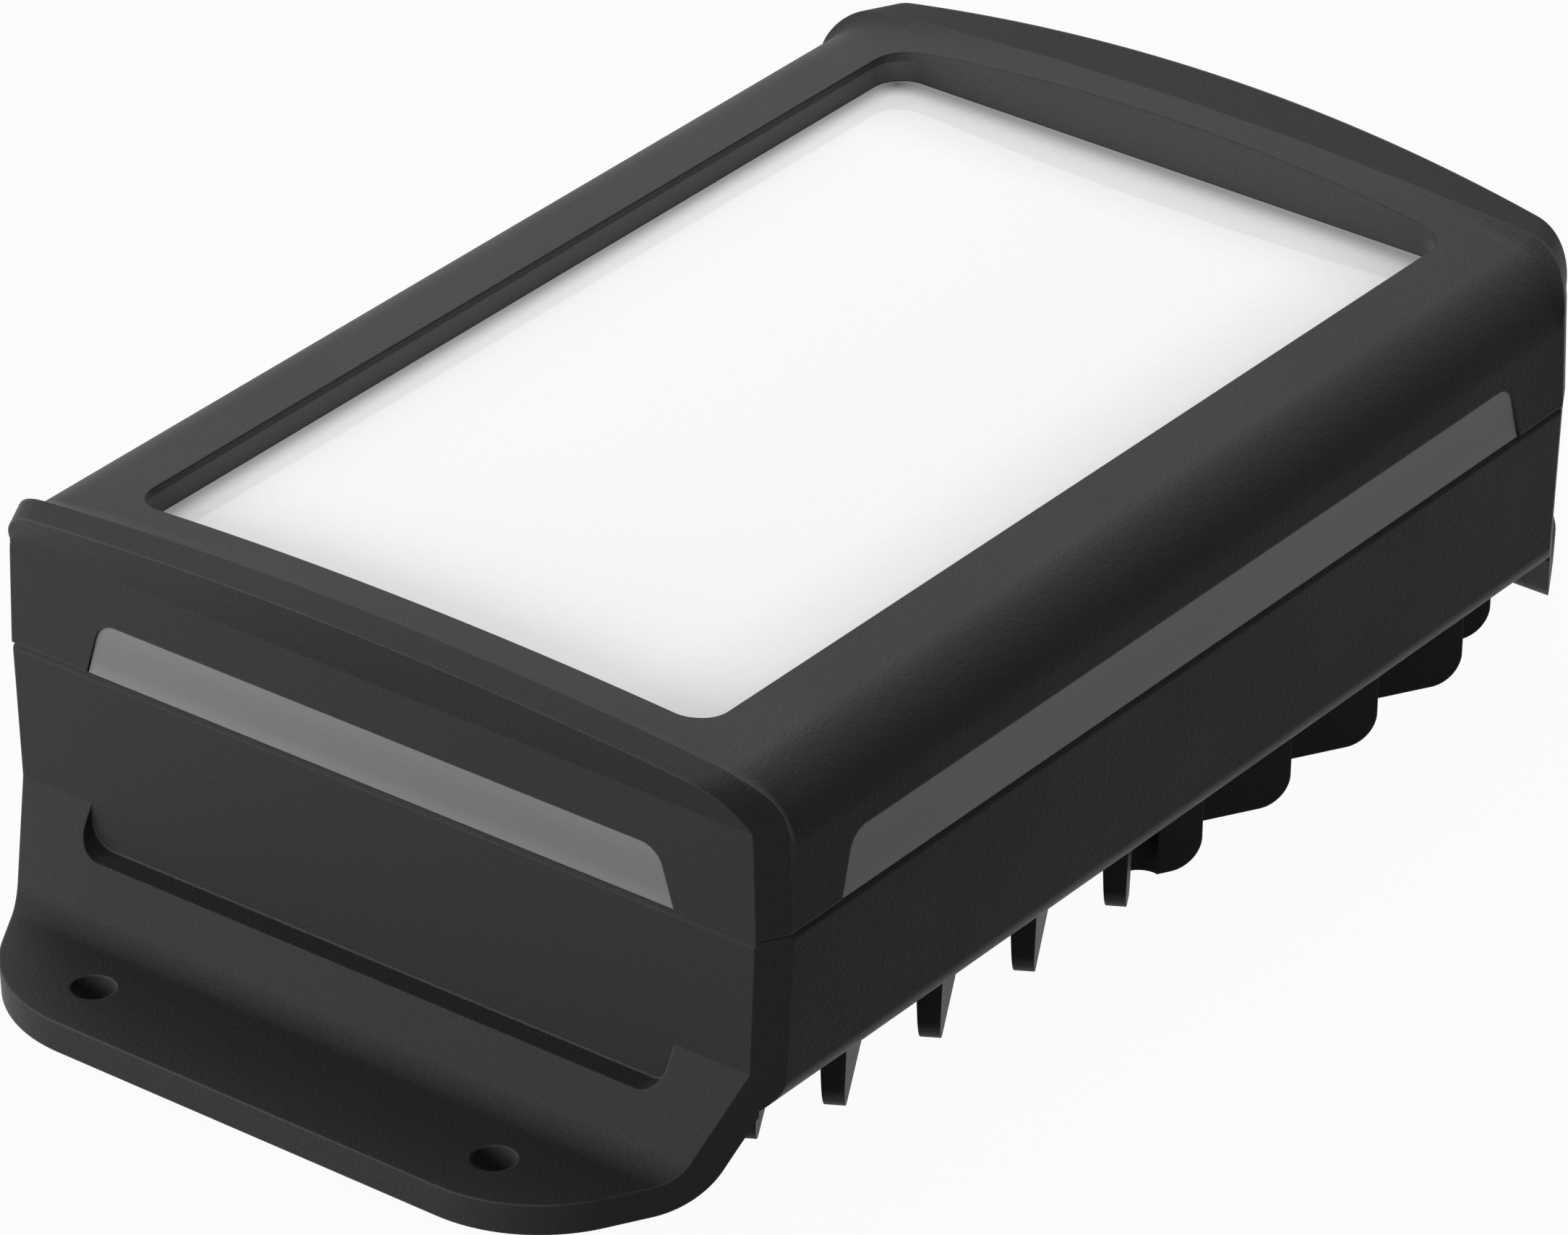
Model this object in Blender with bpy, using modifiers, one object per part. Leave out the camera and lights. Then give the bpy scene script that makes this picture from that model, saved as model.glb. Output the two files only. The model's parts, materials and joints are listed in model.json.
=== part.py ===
"""Outdoor wall light: a die-cast housing with two feet and chevron cooling fins, and a domed cover
with a frosted window. Metres, +Z away from the wall, origin on the wall at the middle of the light.
"""

import math

import bmesh
import bpy
from mathutils import Matrix

# Overall sizes
BODY_LENGTH = 0.2121
BODY_WIDTH = 0.1496
PARTING_HEIGHT = 0.0449
CUT_ANGLE = math.radians(30)
CORNER_CUT = 0.0050
GAP = 0.0003
OVERRUN = 0.0020

# Housing
HOUSING_WALL = 0.0045
HOUSING_DRAFT_ANGLE = math.radians(2.6)
FLOOR_HEIGHT = 0.0137
FLOOR_THICKNESS = 0.0040
HOUSING_EDGE_RADIUS = 0.0054
HOUSING_INNER_RADIUS = 0.0060
RIM_CHAMFER_DEPTH = 0.0006
RIM_CHAMFER_HEIGHT = 0.0008
FLARE_HEIGHT = 0.0215
FOOT_THICKNESS = 0.0053
FOOT_REACH = 0.0318
FOOT_CORNER_RADIUS = 0.0251
FOOT_FILLET = 0.0057
POCKET_SIDE_MARGIN = 0.0180
POCKET_FLOOR_HEIGHT = 0.0143
POCKET_CORNER_RADIUS = 0.0043
FOOT_HOLE_DIAMETER = 0.0070
FOOT_HOLE_INSET = 0.0110
FOOT_HOLE_SIDE_INSET = 0.03565

# Cooling fins
FIN_WALL_CLEARANCE = 0.0013
FIN_EDGE_INSET = 0.0063
FIN_END_INSET = 0.0080
FIN_PITCH = 0.0239
FIN_ROOT_THICKNESS = 0.0042
FIN_TIP_THICKNESS = 0.0031
FIN_CORNER_RADIUS = 0.0052
FIN_ANGLE = math.radians(30)
FIN_MIDDLE_OFFSET = 0.0110
ENTRY_PAD_HALF_LENGTH = 0.0330
ENTRY_PAD_HALF_WIDTH = 0.0150

# Cover
COVER_WALL = 0.0030
COVER_DRAFT_ANGLE = math.radians(1.5)
COVER_HEIGHT = 0.0291
COVER_ARCH_RADIUS = 0.4856
COVER_SHOULDER_RADIUS = 0.0120
COVER_CEILING_DROP = 0.0067
LIP_HEIGHT = 0.0307
LIP_ARCH_RADIUS = 0.4500
LIP_CORNER_RADIUS = 0.0105
LIP_FLARE_START = 0.01815
LIP_FLARE_SLOPE = 0.546
LIP_BACK_HEIGHT = 0.0292
LIP_BACK_ARCH_RADIUS = 0.7500
LIP_BACK_CORNER_RADIUS = 0.0102
LIP_BACK_INSET = 0.0013
LIP_RAMP_END_INSET = 0.0055
LIP_RAMP_SIDE_INSET = 0.0070

# Window opening in the cover
WINDOW_END_MARGIN = 0.00965
WINDOW_SIDE_MARGIN = 0.0196
WINDOW_CORNER_RADIUS = 0.0056
WINDOW_RIM_HEIGHT = 0.0262
WINDOW_LEAN = math.tan(math.radians(30))

# Lens, its gasket and the clips that hold it
LENS_TOP_HEIGHT = 0.0209
LENS_THICKNESS = 0.0040
LENS_MARGIN = 0.0040
LENS_GASKET_WIDTH = 0.0035
CLIP_SPACING = 0.0900
CLIP_LENGTH = 0.0150
CLIP_WIDTH = 0.0090
CLIP_THICKNESS = 0.0012
CLIP_BOSS_RADIUS = 0.0032
CLIP_EDGE_INSET = 0.0108

# Side and end light windows
SIDE_WINDOW_MARGIN = 0.01755
SIDE_WINDOW_HEIGHT = 0.00985
END_WINDOW_MARGIN = 0.0183
END_WINDOW_HEIGHT = 0.0093
STRIP_END_LEAN = math.tan(math.radians(17))
STRIP_CORNER_RADIUS = 0.0042
STRIP_FLANGE = 0.0015
STRIP_FLANGE_THICKNESS = 0.0010
STRIP_RECESS = 0.0004

# Perimeter gasket in the housing's rim
RIM_GASKET_WIDTH = 0.0015
RIM_GASKET_HEIGHT = 0.0016
RIM_GASKET_RADIUS = 0.0080

# Screw columns that hold the cover down, from the back
COLUMN_RADIUS = 0.0055
COVER_COLUMN_RADIUS = 0.0046
COLUMN_EDGE_INSET = 0.0095
COLUMN_END_INSET = 0.0163
COLUMN_SEAT_DEPTH = 0.0160
COVER_SCREW_RADIUS = 0.0020
COVER_SCREW_HEAD_RADIUS = 0.0035
COVER_SCREW_HEAD_HEIGHT = 0.0030
COVER_SCREW_GRIP = 0.0120
SCREW_SOCKET_RADIUS = 0.0018

# LED plate, boards, emitters and the white sheet over them
PLATE_END_CLEARANCE = 0.01005
PLATE_SIDE_CLEARANCE = 0.0163
PLATE_THICKNESS = 0.0020
PLATE_TOP_DROP = 0.0040
PLATE_CORNER_RADIUS = 0.0060
PLATE_POST_RADIUS = 0.0040
PLATE_POST_END_INSET = 0.0220
PLATE_POST_EDGE_INSET = 0.0220
PAD_THICKNESS = 0.0005
BOARD_END_INSET = 0.0180
BOARD_EDGE_INSET = 0.0125
BOARD_MIDDLE_GAP = 0.0080
BOARD_THICKNESS = 0.0016
LED_SIZE = 0.0030
LED_HEIGHT = 0.0007
LED_ROW_PITCH = 0.0120
LED_COLUMN_PITCH = 0.0150
LED_ROW_MARGIN = 0.0070
LED_COLUMN_MARGIN = 0.0100
SHEET_THICKNESS = 0.0008
SHEET_SLOT_WIDTH = 0.0060
SMALL_SCREW_RADIUS = 0.0015
SMALL_SCREW_HEAD_RADIUS = 0.0028
SMALL_SCREW_HEAD_HEIGHT = 0.0018
SMALL_SCREW_GRIP = 0.0060

# Driver and its two screws
DRIVER_END_INSET = 0.0130
DRIVER_POST_GAP = 0.0028
DRIVER_ENTRY_GAP = 0.0015
DRIVER_HEADROOM = 0.0038
DRIVER_TAB_LENGTH = 0.0100
DRIVER_TAB_WIDTH = 0.0140
DRIVER_TAB_THICKNESS = 0.0015
DRIVER_BOSS_HEIGHT = 0.0030
DRIVER_BOSS_RADIUS = 0.0040
DRIVER_EDGE = 0.0012

# Cable entry, terminal block, vent and earth screw
ENTRY_X = -0.0150
ENTRY_HOLE_RADIUS = 0.0080
GROMMET_FLANGE_RADIUS = 0.0105
GROMMET_FLANGE_THICKNESS = 0.0020
GROMMET_BORE_RADIUS = 0.0040
TERMINAL_POST_GAP = 0.0008
TERMINAL_LENGTH = 0.0300
TERMINAL_WIDTH = 0.0160
TERMINAL_HEADROOM = 0.0068
TERMINAL_POLES = 3
TERMINAL_SCREW_RADIUS = 0.0017
TERMINAL_SCREW_DEPTH = 0.0040
VENT_X = 0.0160
VENT_STEM_RADIUS = 0.0050
VENT_CAP_RADIUS = 0.0080
VENT_CAP_THICKNESS = 0.0035
VENT_NUT_RADIUS = 0.0085
VENT_NUT_THICKNESS = 0.0025
EARTH_X = 0.0450
EARTH_Y = 0.0200
EARTH_BOSS_RADIUS = 0.0045
EARTH_BOSS_HEIGHT = 0.0040
EARTH_WASHER_RADIUS = 0.0045
EARTH_WASHER_THICKNESS = 0.0010

# Leads inside the housing
LEAD_RADIUS = 0.0015
INPUT_LEAD_X = 0.0300
INPUT_LEAD_BEND = 0.0250
OUTPUT_LEAD_RADIUS = 0.0010
OUTPUT_LEAD_EDGE_INSET = 0.0040
OUTPUT_LEAD_CLEARANCE = 0.0080
OUTPUT_LEAD_HOLE_RADIUS = 0.0025
OUTPUT_LEAD_BEND = 0.0120
OUTPUT_LEAD_HOOK = 0.0040

# Facet counts
LEAD_STEPS = 10
ROUND_STEPS = 24
SMALL_STEPS = 16
CORNER_STEPS = 6
ARCH_STEPS = 8

HALF_LENGTH = BODY_LENGTH / 2
HALF_WIDTH = BODY_WIDTH / 2
INNER_FLOOR = FLOOR_HEIGHT + FLOOR_THICKNESS
FOOT_END = HALF_LENGTH + FOOT_REACH
CAVITY_HALF_LENGTH = HALF_LENGTH - HOUSING_WALL
CAVITY_HALF_WIDTH = HALF_WIDTH - HOUSING_WALL
RIM_HEIGHT = PARTING_HEIGHT - GAP
LENS_TOP = PARTING_HEIGHT + LENS_TOP_HEIGHT
LENS_BOTTOM = LENS_TOP - LENS_THICKNESS
CEILING = PARTING_HEIGHT + COVER_HEIGHT - COVER_CEILING_DROP
WINDOW_HALF_LENGTH = HALF_LENGTH - WINDOW_END_MARGIN
WINDOW_HALF_WIDTH = HALF_WIDTH - WINDOW_SIDE_MARGIN
LENS_HALF_LENGTH = WINDOW_HALF_LENGTH + LENS_MARGIN
LENS_HALF_WIDTH = WINDOW_HALF_WIDTH + LENS_MARGIN
COLUMN_Y = HALF_WIDTH - COLUMN_EDGE_INSET
CLIP_Y = HALF_WIDTH - CLIP_EDGE_INSET
COLUMN_XS = (-HALF_LENGTH + COLUMN_END_INSET, 0, HALF_LENGTH - COLUMN_END_INSET)
COLUMN_SEAT = FLOOR_HEIGHT + COLUMN_SEAT_DEPTH
PLATE_TOP = PARTING_HEIGHT - PLATE_TOP_DROP
PLATE_BOTTOM = PLATE_TOP - PLATE_THICKNESS
POST_Y = HALF_WIDTH - PLATE_POST_EDGE_INSET
POST_XS = (-HALF_LENGTH + PLATE_POST_END_INSET, 0, HALF_LENGTH - PLATE_POST_END_INSET)
PLATE_HALF_LENGTH = HALF_LENGTH - PLATE_END_CLEARANCE
PLATE_HALF_WIDTH = HALF_WIDTH - PLATE_SIDE_CLEARANCE
PAD_TOP = PLATE_TOP + GAP + PAD_THICKNESS
BOARD_TOP = PAD_TOP + GAP + BOARD_THICKNESS
BOARD_LENGTH = 2 * (PLATE_HALF_LENGTH - BOARD_END_INSET)
BOARD_WIDTH = PLATE_HALF_WIDTH - BOARD_EDGE_INSET - BOARD_MIDDLE_GAP / 2
BOARD_SPACING = BOARD_WIDTH + BOARD_MIDDLE_GAP
LED_ROWS = 1 + int((BOARD_WIDTH - 2 * LED_ROW_MARGIN) / LED_ROW_PITCH)
LED_COLUMNS = 1 + int((BOARD_LENGTH - 2 * LED_COLUMN_MARGIN) / LED_COLUMN_PITCH)
DRIVER_LENGTH = BOARD_LENGTH - 2 * DRIVER_END_INSET
DRIVER_OUTER_Y = POST_Y - PLATE_POST_RADIUS - DRIVER_POST_GAP
DRIVER_INNER_Y = GROMMET_FLANGE_RADIUS + DRIVER_ENTRY_GAP
DRIVER_WIDTH = DRIVER_OUTER_Y - DRIVER_INNER_Y
DRIVER_CENTRE_Y = -(DRIVER_OUTER_Y + DRIVER_INNER_Y) / 2
DRIVER_HEIGHT = PLATE_BOTTOM - INNER_FLOOR - GAP - DRIVER_HEADROOM
TERMINAL_Y = POST_Y - PLATE_POST_RADIUS - TERMINAL_POST_GAP - TERMINAL_WIDTH / 2
TERMINAL_HEIGHT = PLATE_BOTTOM - INNER_FLOOR - GAP - TERMINAL_HEADROOM
OUTPUT_LEAD_X = -BOARD_LENGTH / 2 - OUTPUT_LEAD_CLEARANCE
OUTPUT_LEAD_OFFSET = DRIVER_WIDTH / 2 - OUTPUT_LEAD_EDGE_INSET
FIN_TIP = FIN_WALL_CLEARANCE
FIN_EDGE_Y = HALF_WIDTH - FIN_EDGE_INSET


def clear_scene():
    for old in list(bpy.data.objects):
        bpy.data.objects.remove(old, do_unlink=True)


def make_material(name, colour, roughness, metallic=0.0, alpha=1.0):
    material = bpy.data.materials.new(name)
    material.use_nodes = True
    shader = material.node_tree.nodes["Principled BSDF"]
    shader.inputs["Base Color"].default_value = (*colour, 1.0)
    shader.inputs["Roughness"].default_value = roughness
    shader.inputs["Metallic"].default_value = metallic
    shader.inputs["Alpha"].default_value = alpha
    material.diffuse_color = (*colour, alpha)
    return material


def link(name, mesh, material=None):
    made = bpy.data.objects.new(name, mesh)
    PARTS.objects.link(made)
    if material:
        mesh.materials.clear()
        mesh.materials.append(material)
    return made


def tidy_mesh(mesh):
    """Welds loose caps and points all faces outwards."""
    cleaner = bmesh.new()
    cleaner.from_mesh(mesh)
    bmesh.ops.remove_doubles(cleaner, verts=cleaner.verts, dist=WELD)
    bmesh.ops.recalc_face_normals(cleaner, faces=cleaner.faces)
    cleaner.to_mesh(mesh)
    cleaner.free()


def bake(made):
    """Replaces an object's data with its evaluated mesh, in world space."""
    evaluated = made.evaluated_get(bpy.context.evaluated_depsgraph_get())
    mesh = bpy.data.meshes.new_from_object(evaluated)
    mesh.transform(made.matrix_world)
    name = made.name
    material = made.active_material
    bpy.data.objects.remove(made, do_unlink=True)
    tidy_mesh(mesh)
    return link(name, mesh, material)


def prism(name, outlines, low, high, material=None, turn=None):
    """A flat outline, with any holes after it, filled and given a thickness along Z, then turned."""
    curve = bpy.data.curves.new(name, "CURVE")
    curve.dimensions = "2D"
    curve.fill_mode = "BOTH"
    curve.extrude = (high - low) / 2
    for outline in outlines:
        spline = curve.splines.new("POLY")
        spline.points.add(len(outline) - 1)
        for point, (x, y) in zip(spline.points, outline):
            point.co = (x, y, 0, 1)
        spline.use_cyclic_u = True
    made = link(name, curve)
    made.matrix_world = (turn or Matrix()) @ Matrix.Translation((0, 0, (low + high) / 2))
    bpy.context.view_layer.update()
    made = bake(made)
    if material:
        made.data.materials.clear()
        made.data.materials.append(material)
    return made


def cylinder(name, radius, low, high, centre=(0, 0), material=None, steps=ROUND_STEPS):
    shape = bmesh.new()
    bmesh.ops.create_cone(shape, cap_ends=True, segments=steps, radius1=radius, radius2=radius, depth=high - low)
    bmesh.ops.translate(shape, verts=shape.verts, vec=(centre[0], centre[1], (low + high) / 2))
    mesh = bpy.data.meshes.new(name)
    shape.to_mesh(mesh)
    shape.free()
    return link(name, mesh, material)


def block(name, size, centre, material=None):
    shape = bmesh.new()
    bmesh.ops.create_cube(shape, size=1)
    bmesh.ops.scale(shape, verts=shape.verts, vec=size)
    bmesh.ops.translate(shape, verts=shape.verts, vec=centre)
    mesh = bpy.data.meshes.new(name)
    shape.to_mesh(mesh)
    shape.free()
    return link(name, mesh, material)


def turned(name, profile, centre, material=None, steps=SMALL_STEPS):
    """A profile of (radius, height) from top to bottom, screwed round the Z axis."""
    mesh = bpy.data.meshes.new(name)
    points = [(radius, 0, height) for radius, height in profile]
    mesh.from_pydata(points, [(i, i + 1) for i in range(len(points) - 1)], [])
    made = link(name, mesh, material)
    screw = made.modifiers.new("turn", "SCREW")
    screw.steps = screw.render_steps = steps
    screw.use_merge_vertices = True
    screw.merge_threshold = WELD
    made.location = centre
    bpy.context.view_layer.update()
    return bake(made)


def boolean(target, tools, operation):
    """Cuts or joins each tool in turn, and removes it."""
    for tool in tools:
        change = target.modifiers.new(operation, "BOOLEAN")
        change.operation = operation
        change.solver = "EXACT"
        change.object = tool
        bpy.context.view_layer.update()
        target = bake(target)
        bpy.data.objects.remove(tool, do_unlink=True)
    return target


def cut(target, *tools):
    return boolean(target, tools, "DIFFERENCE")


def join(target, *tools):
    return boolean(target, tools, "UNION")


def merge(name, pieces, material=None):
    """Puts separate solids into one object."""
    shape = bmesh.new()
    for piece in pieces:
        shape.from_mesh(piece.data)
    mesh = bpy.data.meshes.new(name)
    shape.to_mesh(mesh)
    shape.free()
    for piece in pieces:
        bpy.data.objects.remove(piece, do_unlink=True)
    return link(name, mesh, material)


def number(name, pieces, material):
    """Names the copies of one piece and gives them its material."""
    for count, piece in enumerate(pieces, 1):
        piece.name = f"{name}_{count}"
        piece.data.materials.clear()
        piece.data.materials.append(material)
        smooth(piece)


def smooth(made, angle=math.radians(30)):
    made.data.shade_smooth()
    made.data.set_sharp_from_angle(angle=angle)
    return made


def arc(centre, radius, start, end, steps):
    """Points on an arc, in degrees from +X."""
    turns = [math.radians(start + (end - start) * i / steps) for i in range(steps + 1)]
    return [(centre[0] + radius * math.cos(t), centre[1] + radius * math.sin(t)) for t in turns]


def rounded_rectangle(half_x, half_y, radius, steps=CORNER_STEPS, centre=(0, 0)):
    outline = []
    for quarter, (side_x, side_y) in enumerate(((1, 1), (-1, 1), (-1, -1), (1, -1))):
        corner = (centre[0] + side_x * (half_x - radius), centre[1] + side_y * (half_y - radius))
        outline += arc(corner, radius, 90 * quarter, 90 * quarter + 90, steps)
    return outline


def rounded(outline, radii, steps=CORNER_STEPS):
    """Rounds each corner of a polygon to its own radius, and leaves a corner of radius zero sharp."""
    result = []
    count = len(outline)
    for i, (x, y) in enumerate(outline):
        if not radii[i]:
            result.append((x, y))
            continue
        (px, py), (nx, ny) = outline[i - 1], outline[(i + 1) % count]
        before = math.atan2(py - y, px - x)
        after = math.atan2(ny - y, nx - x)
        half = ((after - before + math.pi) % (2 * math.pi) - math.pi) / 2
        reach = radii[i] / abs(math.tan(half))
        centre_reach = radii[i] / abs(math.sin(half))
        middle = before + half
        cx, cy = x + centre_reach * math.cos(middle), y + centre_reach * math.sin(middle)
        start = math.atan2(y + reach * math.sin(before) - cy, x + reach * math.cos(before) - cx)
        end = math.atan2(y + reach * math.sin(after) - cy, x + reach * math.cos(after) - cx)
        sweep = (end - start + math.pi) % (2 * math.pi) - math.pi
        for step in range(steps + 1):
            turn = start + sweep * step / steps
            result.append((cx + radii[i] * math.cos(turn), cy + radii[i] * math.sin(turn)))
    return result


# Turns an outline drawn as (y, z) and thickened along X, or drawn as (x, z) and thickened along Y
ALONG_X = Matrix(((0, 0, 1, 0), (1, 0, 0, 0), (0, 1, 0, 0), (0, 0, 0, 1)))
ALONG_Y = Matrix(((1, 0, 0, 0), (0, 0, -1, 0), (0, 1, 0, 0), (0, 0, 0, 1)))
MIRROR_X = Matrix.Scale(-1, 4, (1, 0, 0))
WELD = 0.000005


def mirrored(made, name, mirror):
    mesh = made.data.copy()
    mesh.transform(mirror)
    mesh.flip_normals()
    return link(name, mesh, made.active_material)


def four_quarters(made):
    """Keeps the quarter at -X and -Y and mirrors it into the other three."""
    mirror = made.modifiers.new("quarters", "MIRROR")
    mirror.use_axis = (True, True, False)
    mirror.use_bisect_axis = (True, True, False)
    mirror.use_bisect_flip_axis = (True, True, False)
    mirror.bisect_threshold = WELD
    mirror.merge_threshold = WELD
    bpy.context.view_layer.update()
    return bake(made)


# Plan outline of the housing: the feet, the angled sides and the long walls
def plan_outline():
    slope = math.tan(CUT_ANGLE)
    corner_x = FOOT_END - FOOT_CORNER_RADIUS
    shoulder = (HALF_LENGTH - CORNER_CUT - OVERRUN / slope, HALF_WIDTH + OVERRUN)
    corner_y = shoulder[1] - (corner_x - shoulder[0]) * slope - FOOT_CORNER_RADIUS / math.cos(CUT_ANGLE)
    turned_by = 90 - math.degrees(CUT_ANGLE)
    quarter = arc((corner_x, corner_y), FOOT_CORNER_RADIUS, 0, turned_by, CORNER_STEPS + 2) + [shoulder]
    half = quarter + [(-x, y) for x, y in reversed(quarter)]
    return half + [(x, -y) for x, y in reversed(half)]


def tub_section():
    """The housing's outer section as (y, z), with a chamfered rim and rounded lower edges."""
    depth = RIM_HEIGHT - FLOOR_HEIGHT
    lower_half = HALF_WIDTH - depth * math.tan(HOUSING_DRAFT_ANGLE)
    rim_side = RIM_HEIGHT - RIM_CHAMFER_HEIGHT
    outline = [
        (HALF_WIDTH - RIM_CHAMFER_DEPTH, RIM_HEIGHT),
        (-HALF_WIDTH + RIM_CHAMFER_DEPTH, RIM_HEIGHT),
        (-HALF_WIDTH, rim_side),
        (-lower_half, FLOOR_HEIGHT),
        (lower_half, FLOOR_HEIGHT),
        (HALF_WIDTH, rim_side),
    ]
    return rounded(outline, (0, 0, 0, HOUSING_EDGE_RADIUS, HOUSING_EDGE_RADIUS, 0), CORNER_STEPS)


def end_section():
    """The flare under the end wall, and the foot, as (x, z)."""
    slope = math.tan(CUT_ANGLE)
    flare_run = (FLARE_HEIGHT - FOOT_THICKNESS) * slope
    under_start = HALF_LENGTH + (FLARE_HEIGHT * slope) - FOOT_THICKNESS / math.cos(CUT_ANGLE)
    under_top = under_start - FLOOR_HEIGHT * slope
    outline = [
        (HALF_LENGTH, FLARE_HEIGHT),
        (under_top, FLARE_HEIGHT),
        (under_top, FLOOR_HEIGHT),
        (under_start, 0),
        (FOOT_END + OVERRUN, 0),
        (FOOT_END + OVERRUN, FOOT_THICKNESS),
        (HALF_LENGTH + flare_run, FOOT_THICKNESS),
    ]
    outer_fillet = FOOT_FILLET + FOOT_THICKNESS
    return rounded(outline, (0, 0, 0, outer_fillet, 0, 0, FOOT_FILLET), CORNER_STEPS)


def long_section():
    """The housing from the side as (x, z), oversize in height, with its end walls' chamfered rims."""
    side = [
        (HALF_LENGTH, FLOOR_HEIGHT - OVERRUN),
        (HALF_LENGTH, RIM_HEIGHT - RIM_CHAMFER_HEIGHT),
        (HALF_LENGTH - 2 * RIM_CHAMFER_DEPTH, RIM_HEIGHT + RIM_CHAMFER_HEIGHT),
    ]
    return side + [(-x, z) for x, z in reversed(side)]


def corner_chamfer():
    """Cuts the rim's chamfer along the angled corner at -X and -Y."""
    low = RIM_HEIGHT - RIM_CHAMFER_HEIGHT
    outline = [
        (RIM_CHAMFER_DEPTH, low - RIM_CHAMFER_HEIGHT),
        (RIM_CHAMFER_DEPTH, RIM_HEIGHT + RIM_CHAMFER_HEIGHT),
        (-2 * RIM_CHAMFER_DEPTH, RIM_HEIGHT + RIM_CHAMFER_HEIGHT),
    ]
    made = prism("chamfer", [outline], -2 * CORNER_CUT, 2 * CORNER_CUT, turn=ALONG_Y)
    middle = (-HALF_LENGTH + CORNER_CUT / 2, -HALF_WIDTH + CORNER_CUT * math.tan(CUT_ANGLE) / 2, 0)
    turn = Matrix.Rotation(math.pi * 3 / 2 - CUT_ANGLE, 4, "Z")
    made.data.transform(Matrix.Translation(middle) @ turn)
    return made


def one_fin(start_x, start_y, length):
    """A tapered plate that hangs from the floor and runs inwards at the fins' angle."""
    root = FLOOR_HEIGHT + FLOOR_THICKNESS / 2
    outline = [(0, root), (0, FIN_TIP), (length, FIN_TIP), (length, root)]
    outline = rounded(outline, (0, FIN_CORNER_RADIUS, 0, 0), CORNER_STEPS)
    half = FIN_ROOT_THICKNESS / 2
    made = prism("fin", [outline], -half, half, turn=ALONG_Y)
    taper = (1 - FIN_TIP_THICKNESS / FIN_ROOT_THICKNESS) / (FLOOR_HEIGHT - FIN_TIP)
    for vertex in made.data.vertices:
        vertex.co.y *= 1 - taper * max(0, FLOOR_HEIGHT - vertex.co.z)
    made.data.transform(Matrix.Translation((start_x, start_y, 0)) @ Matrix.Rotation(FIN_ANGLE, 4, "Z"))
    return made


def fin_quadrant():
    """The parallel fins of the quarter at -X and -Y, from the edge in to the two middle planes."""
    end_x = -HALF_LENGTH + FIN_END_INSET
    fins = []
    outer_x = -FIN_MIDDLE_OFFSET
    while True:
        start_x, start_y = outer_x, -FIN_EDGE_Y
        if start_x < end_x:
            start_y += (end_x - start_x) * math.tan(FIN_ANGLE)
            start_x = end_x
        if start_y > -FIN_ROOT_THICKNESS:
            break
        to_middle = min(-start_x / math.cos(FIN_ANGLE), -start_y / math.sin(FIN_ANGLE))
        fins.append(one_fin(start_x, start_y, to_middle + OVERRUN))
        outer_x -= FIN_PITCH
    return merge("fins", fins)


def entry_pad():
    """The clear patch in the middle of the fins, round the cable entry and the vent."""
    outline = rounded_rectangle(ENTRY_PAD_HALF_LENGTH, ENTRY_PAD_HALF_WIDTH, ENTRY_PAD_HALF_WIDTH * 0.999)
    return prism("pad_cutter", [outline], FIN_TIP - OVERRUN, INNER_FLOOR)


def housing_shell():
    """Tub, end walls and feet, trimmed to the plan outline, which leans in downwards, and hollowed."""
    half_x = HALF_LENGTH + OVERRUN
    half_y = HALF_WIDTH + OVERRUN
    shell = prism("housing", [tub_section()], -half_x, half_x, turn=ALONG_X)
    ends = prism("ends", [long_section()], -half_y, half_y, turn=ALONG_Y)
    shell = boolean(shell, [ends], "INTERSECT")
    end = prism("end", [end_section()], -HALF_WIDTH, HALF_WIDTH, turn=ALONG_Y)
    shell = join(shell, mirrored(end, "other_end", MIRROR_X), end)
    plan = prism("plan", [plan_outline()], -OVERRUN, PARTING_HEIGHT + OVERRUN)
    for vertex in plan.data.vertices:
        lean = (PARTING_HEIGHT - vertex.co.z) * math.tan(HOUSING_DRAFT_ANGLE)
        vertex.co.y -= math.copysign(lean, vertex.co.y)
    shell = cut(boolean(shell, [plan], "INTERSECT"), corner_chamfer())
    cavity = rounded_rectangle(CAVITY_HALF_LENGTH, CAVITY_HALF_WIDTH, HOUSING_INNER_RADIUS)
    return cut(shell, prism("cavity", [cavity], INNER_FLOOR, PARTING_HEIGHT + OVERRUN))


def pocket_cutter():
    """The recess in the flare: flush with the end wall behind, level below, round at its lower corners."""
    top = FLARE_HEIGHT + OVERRUN
    half = HALF_WIDTH - POCKET_SIDE_MARGIN
    outline = [(-half, top), (-half, POCKET_FLOOR_HEIGHT), (half, POCKET_FLOOR_HEIGHT), (half, top)]
    outline = rounded(outline, (0, POCKET_CORNER_RADIUS, POCKET_CORNER_RADIUS, 0))
    return prism("pocket", [outline], HALF_LENGTH, FOOT_END, turn=ALONG_X)


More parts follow.
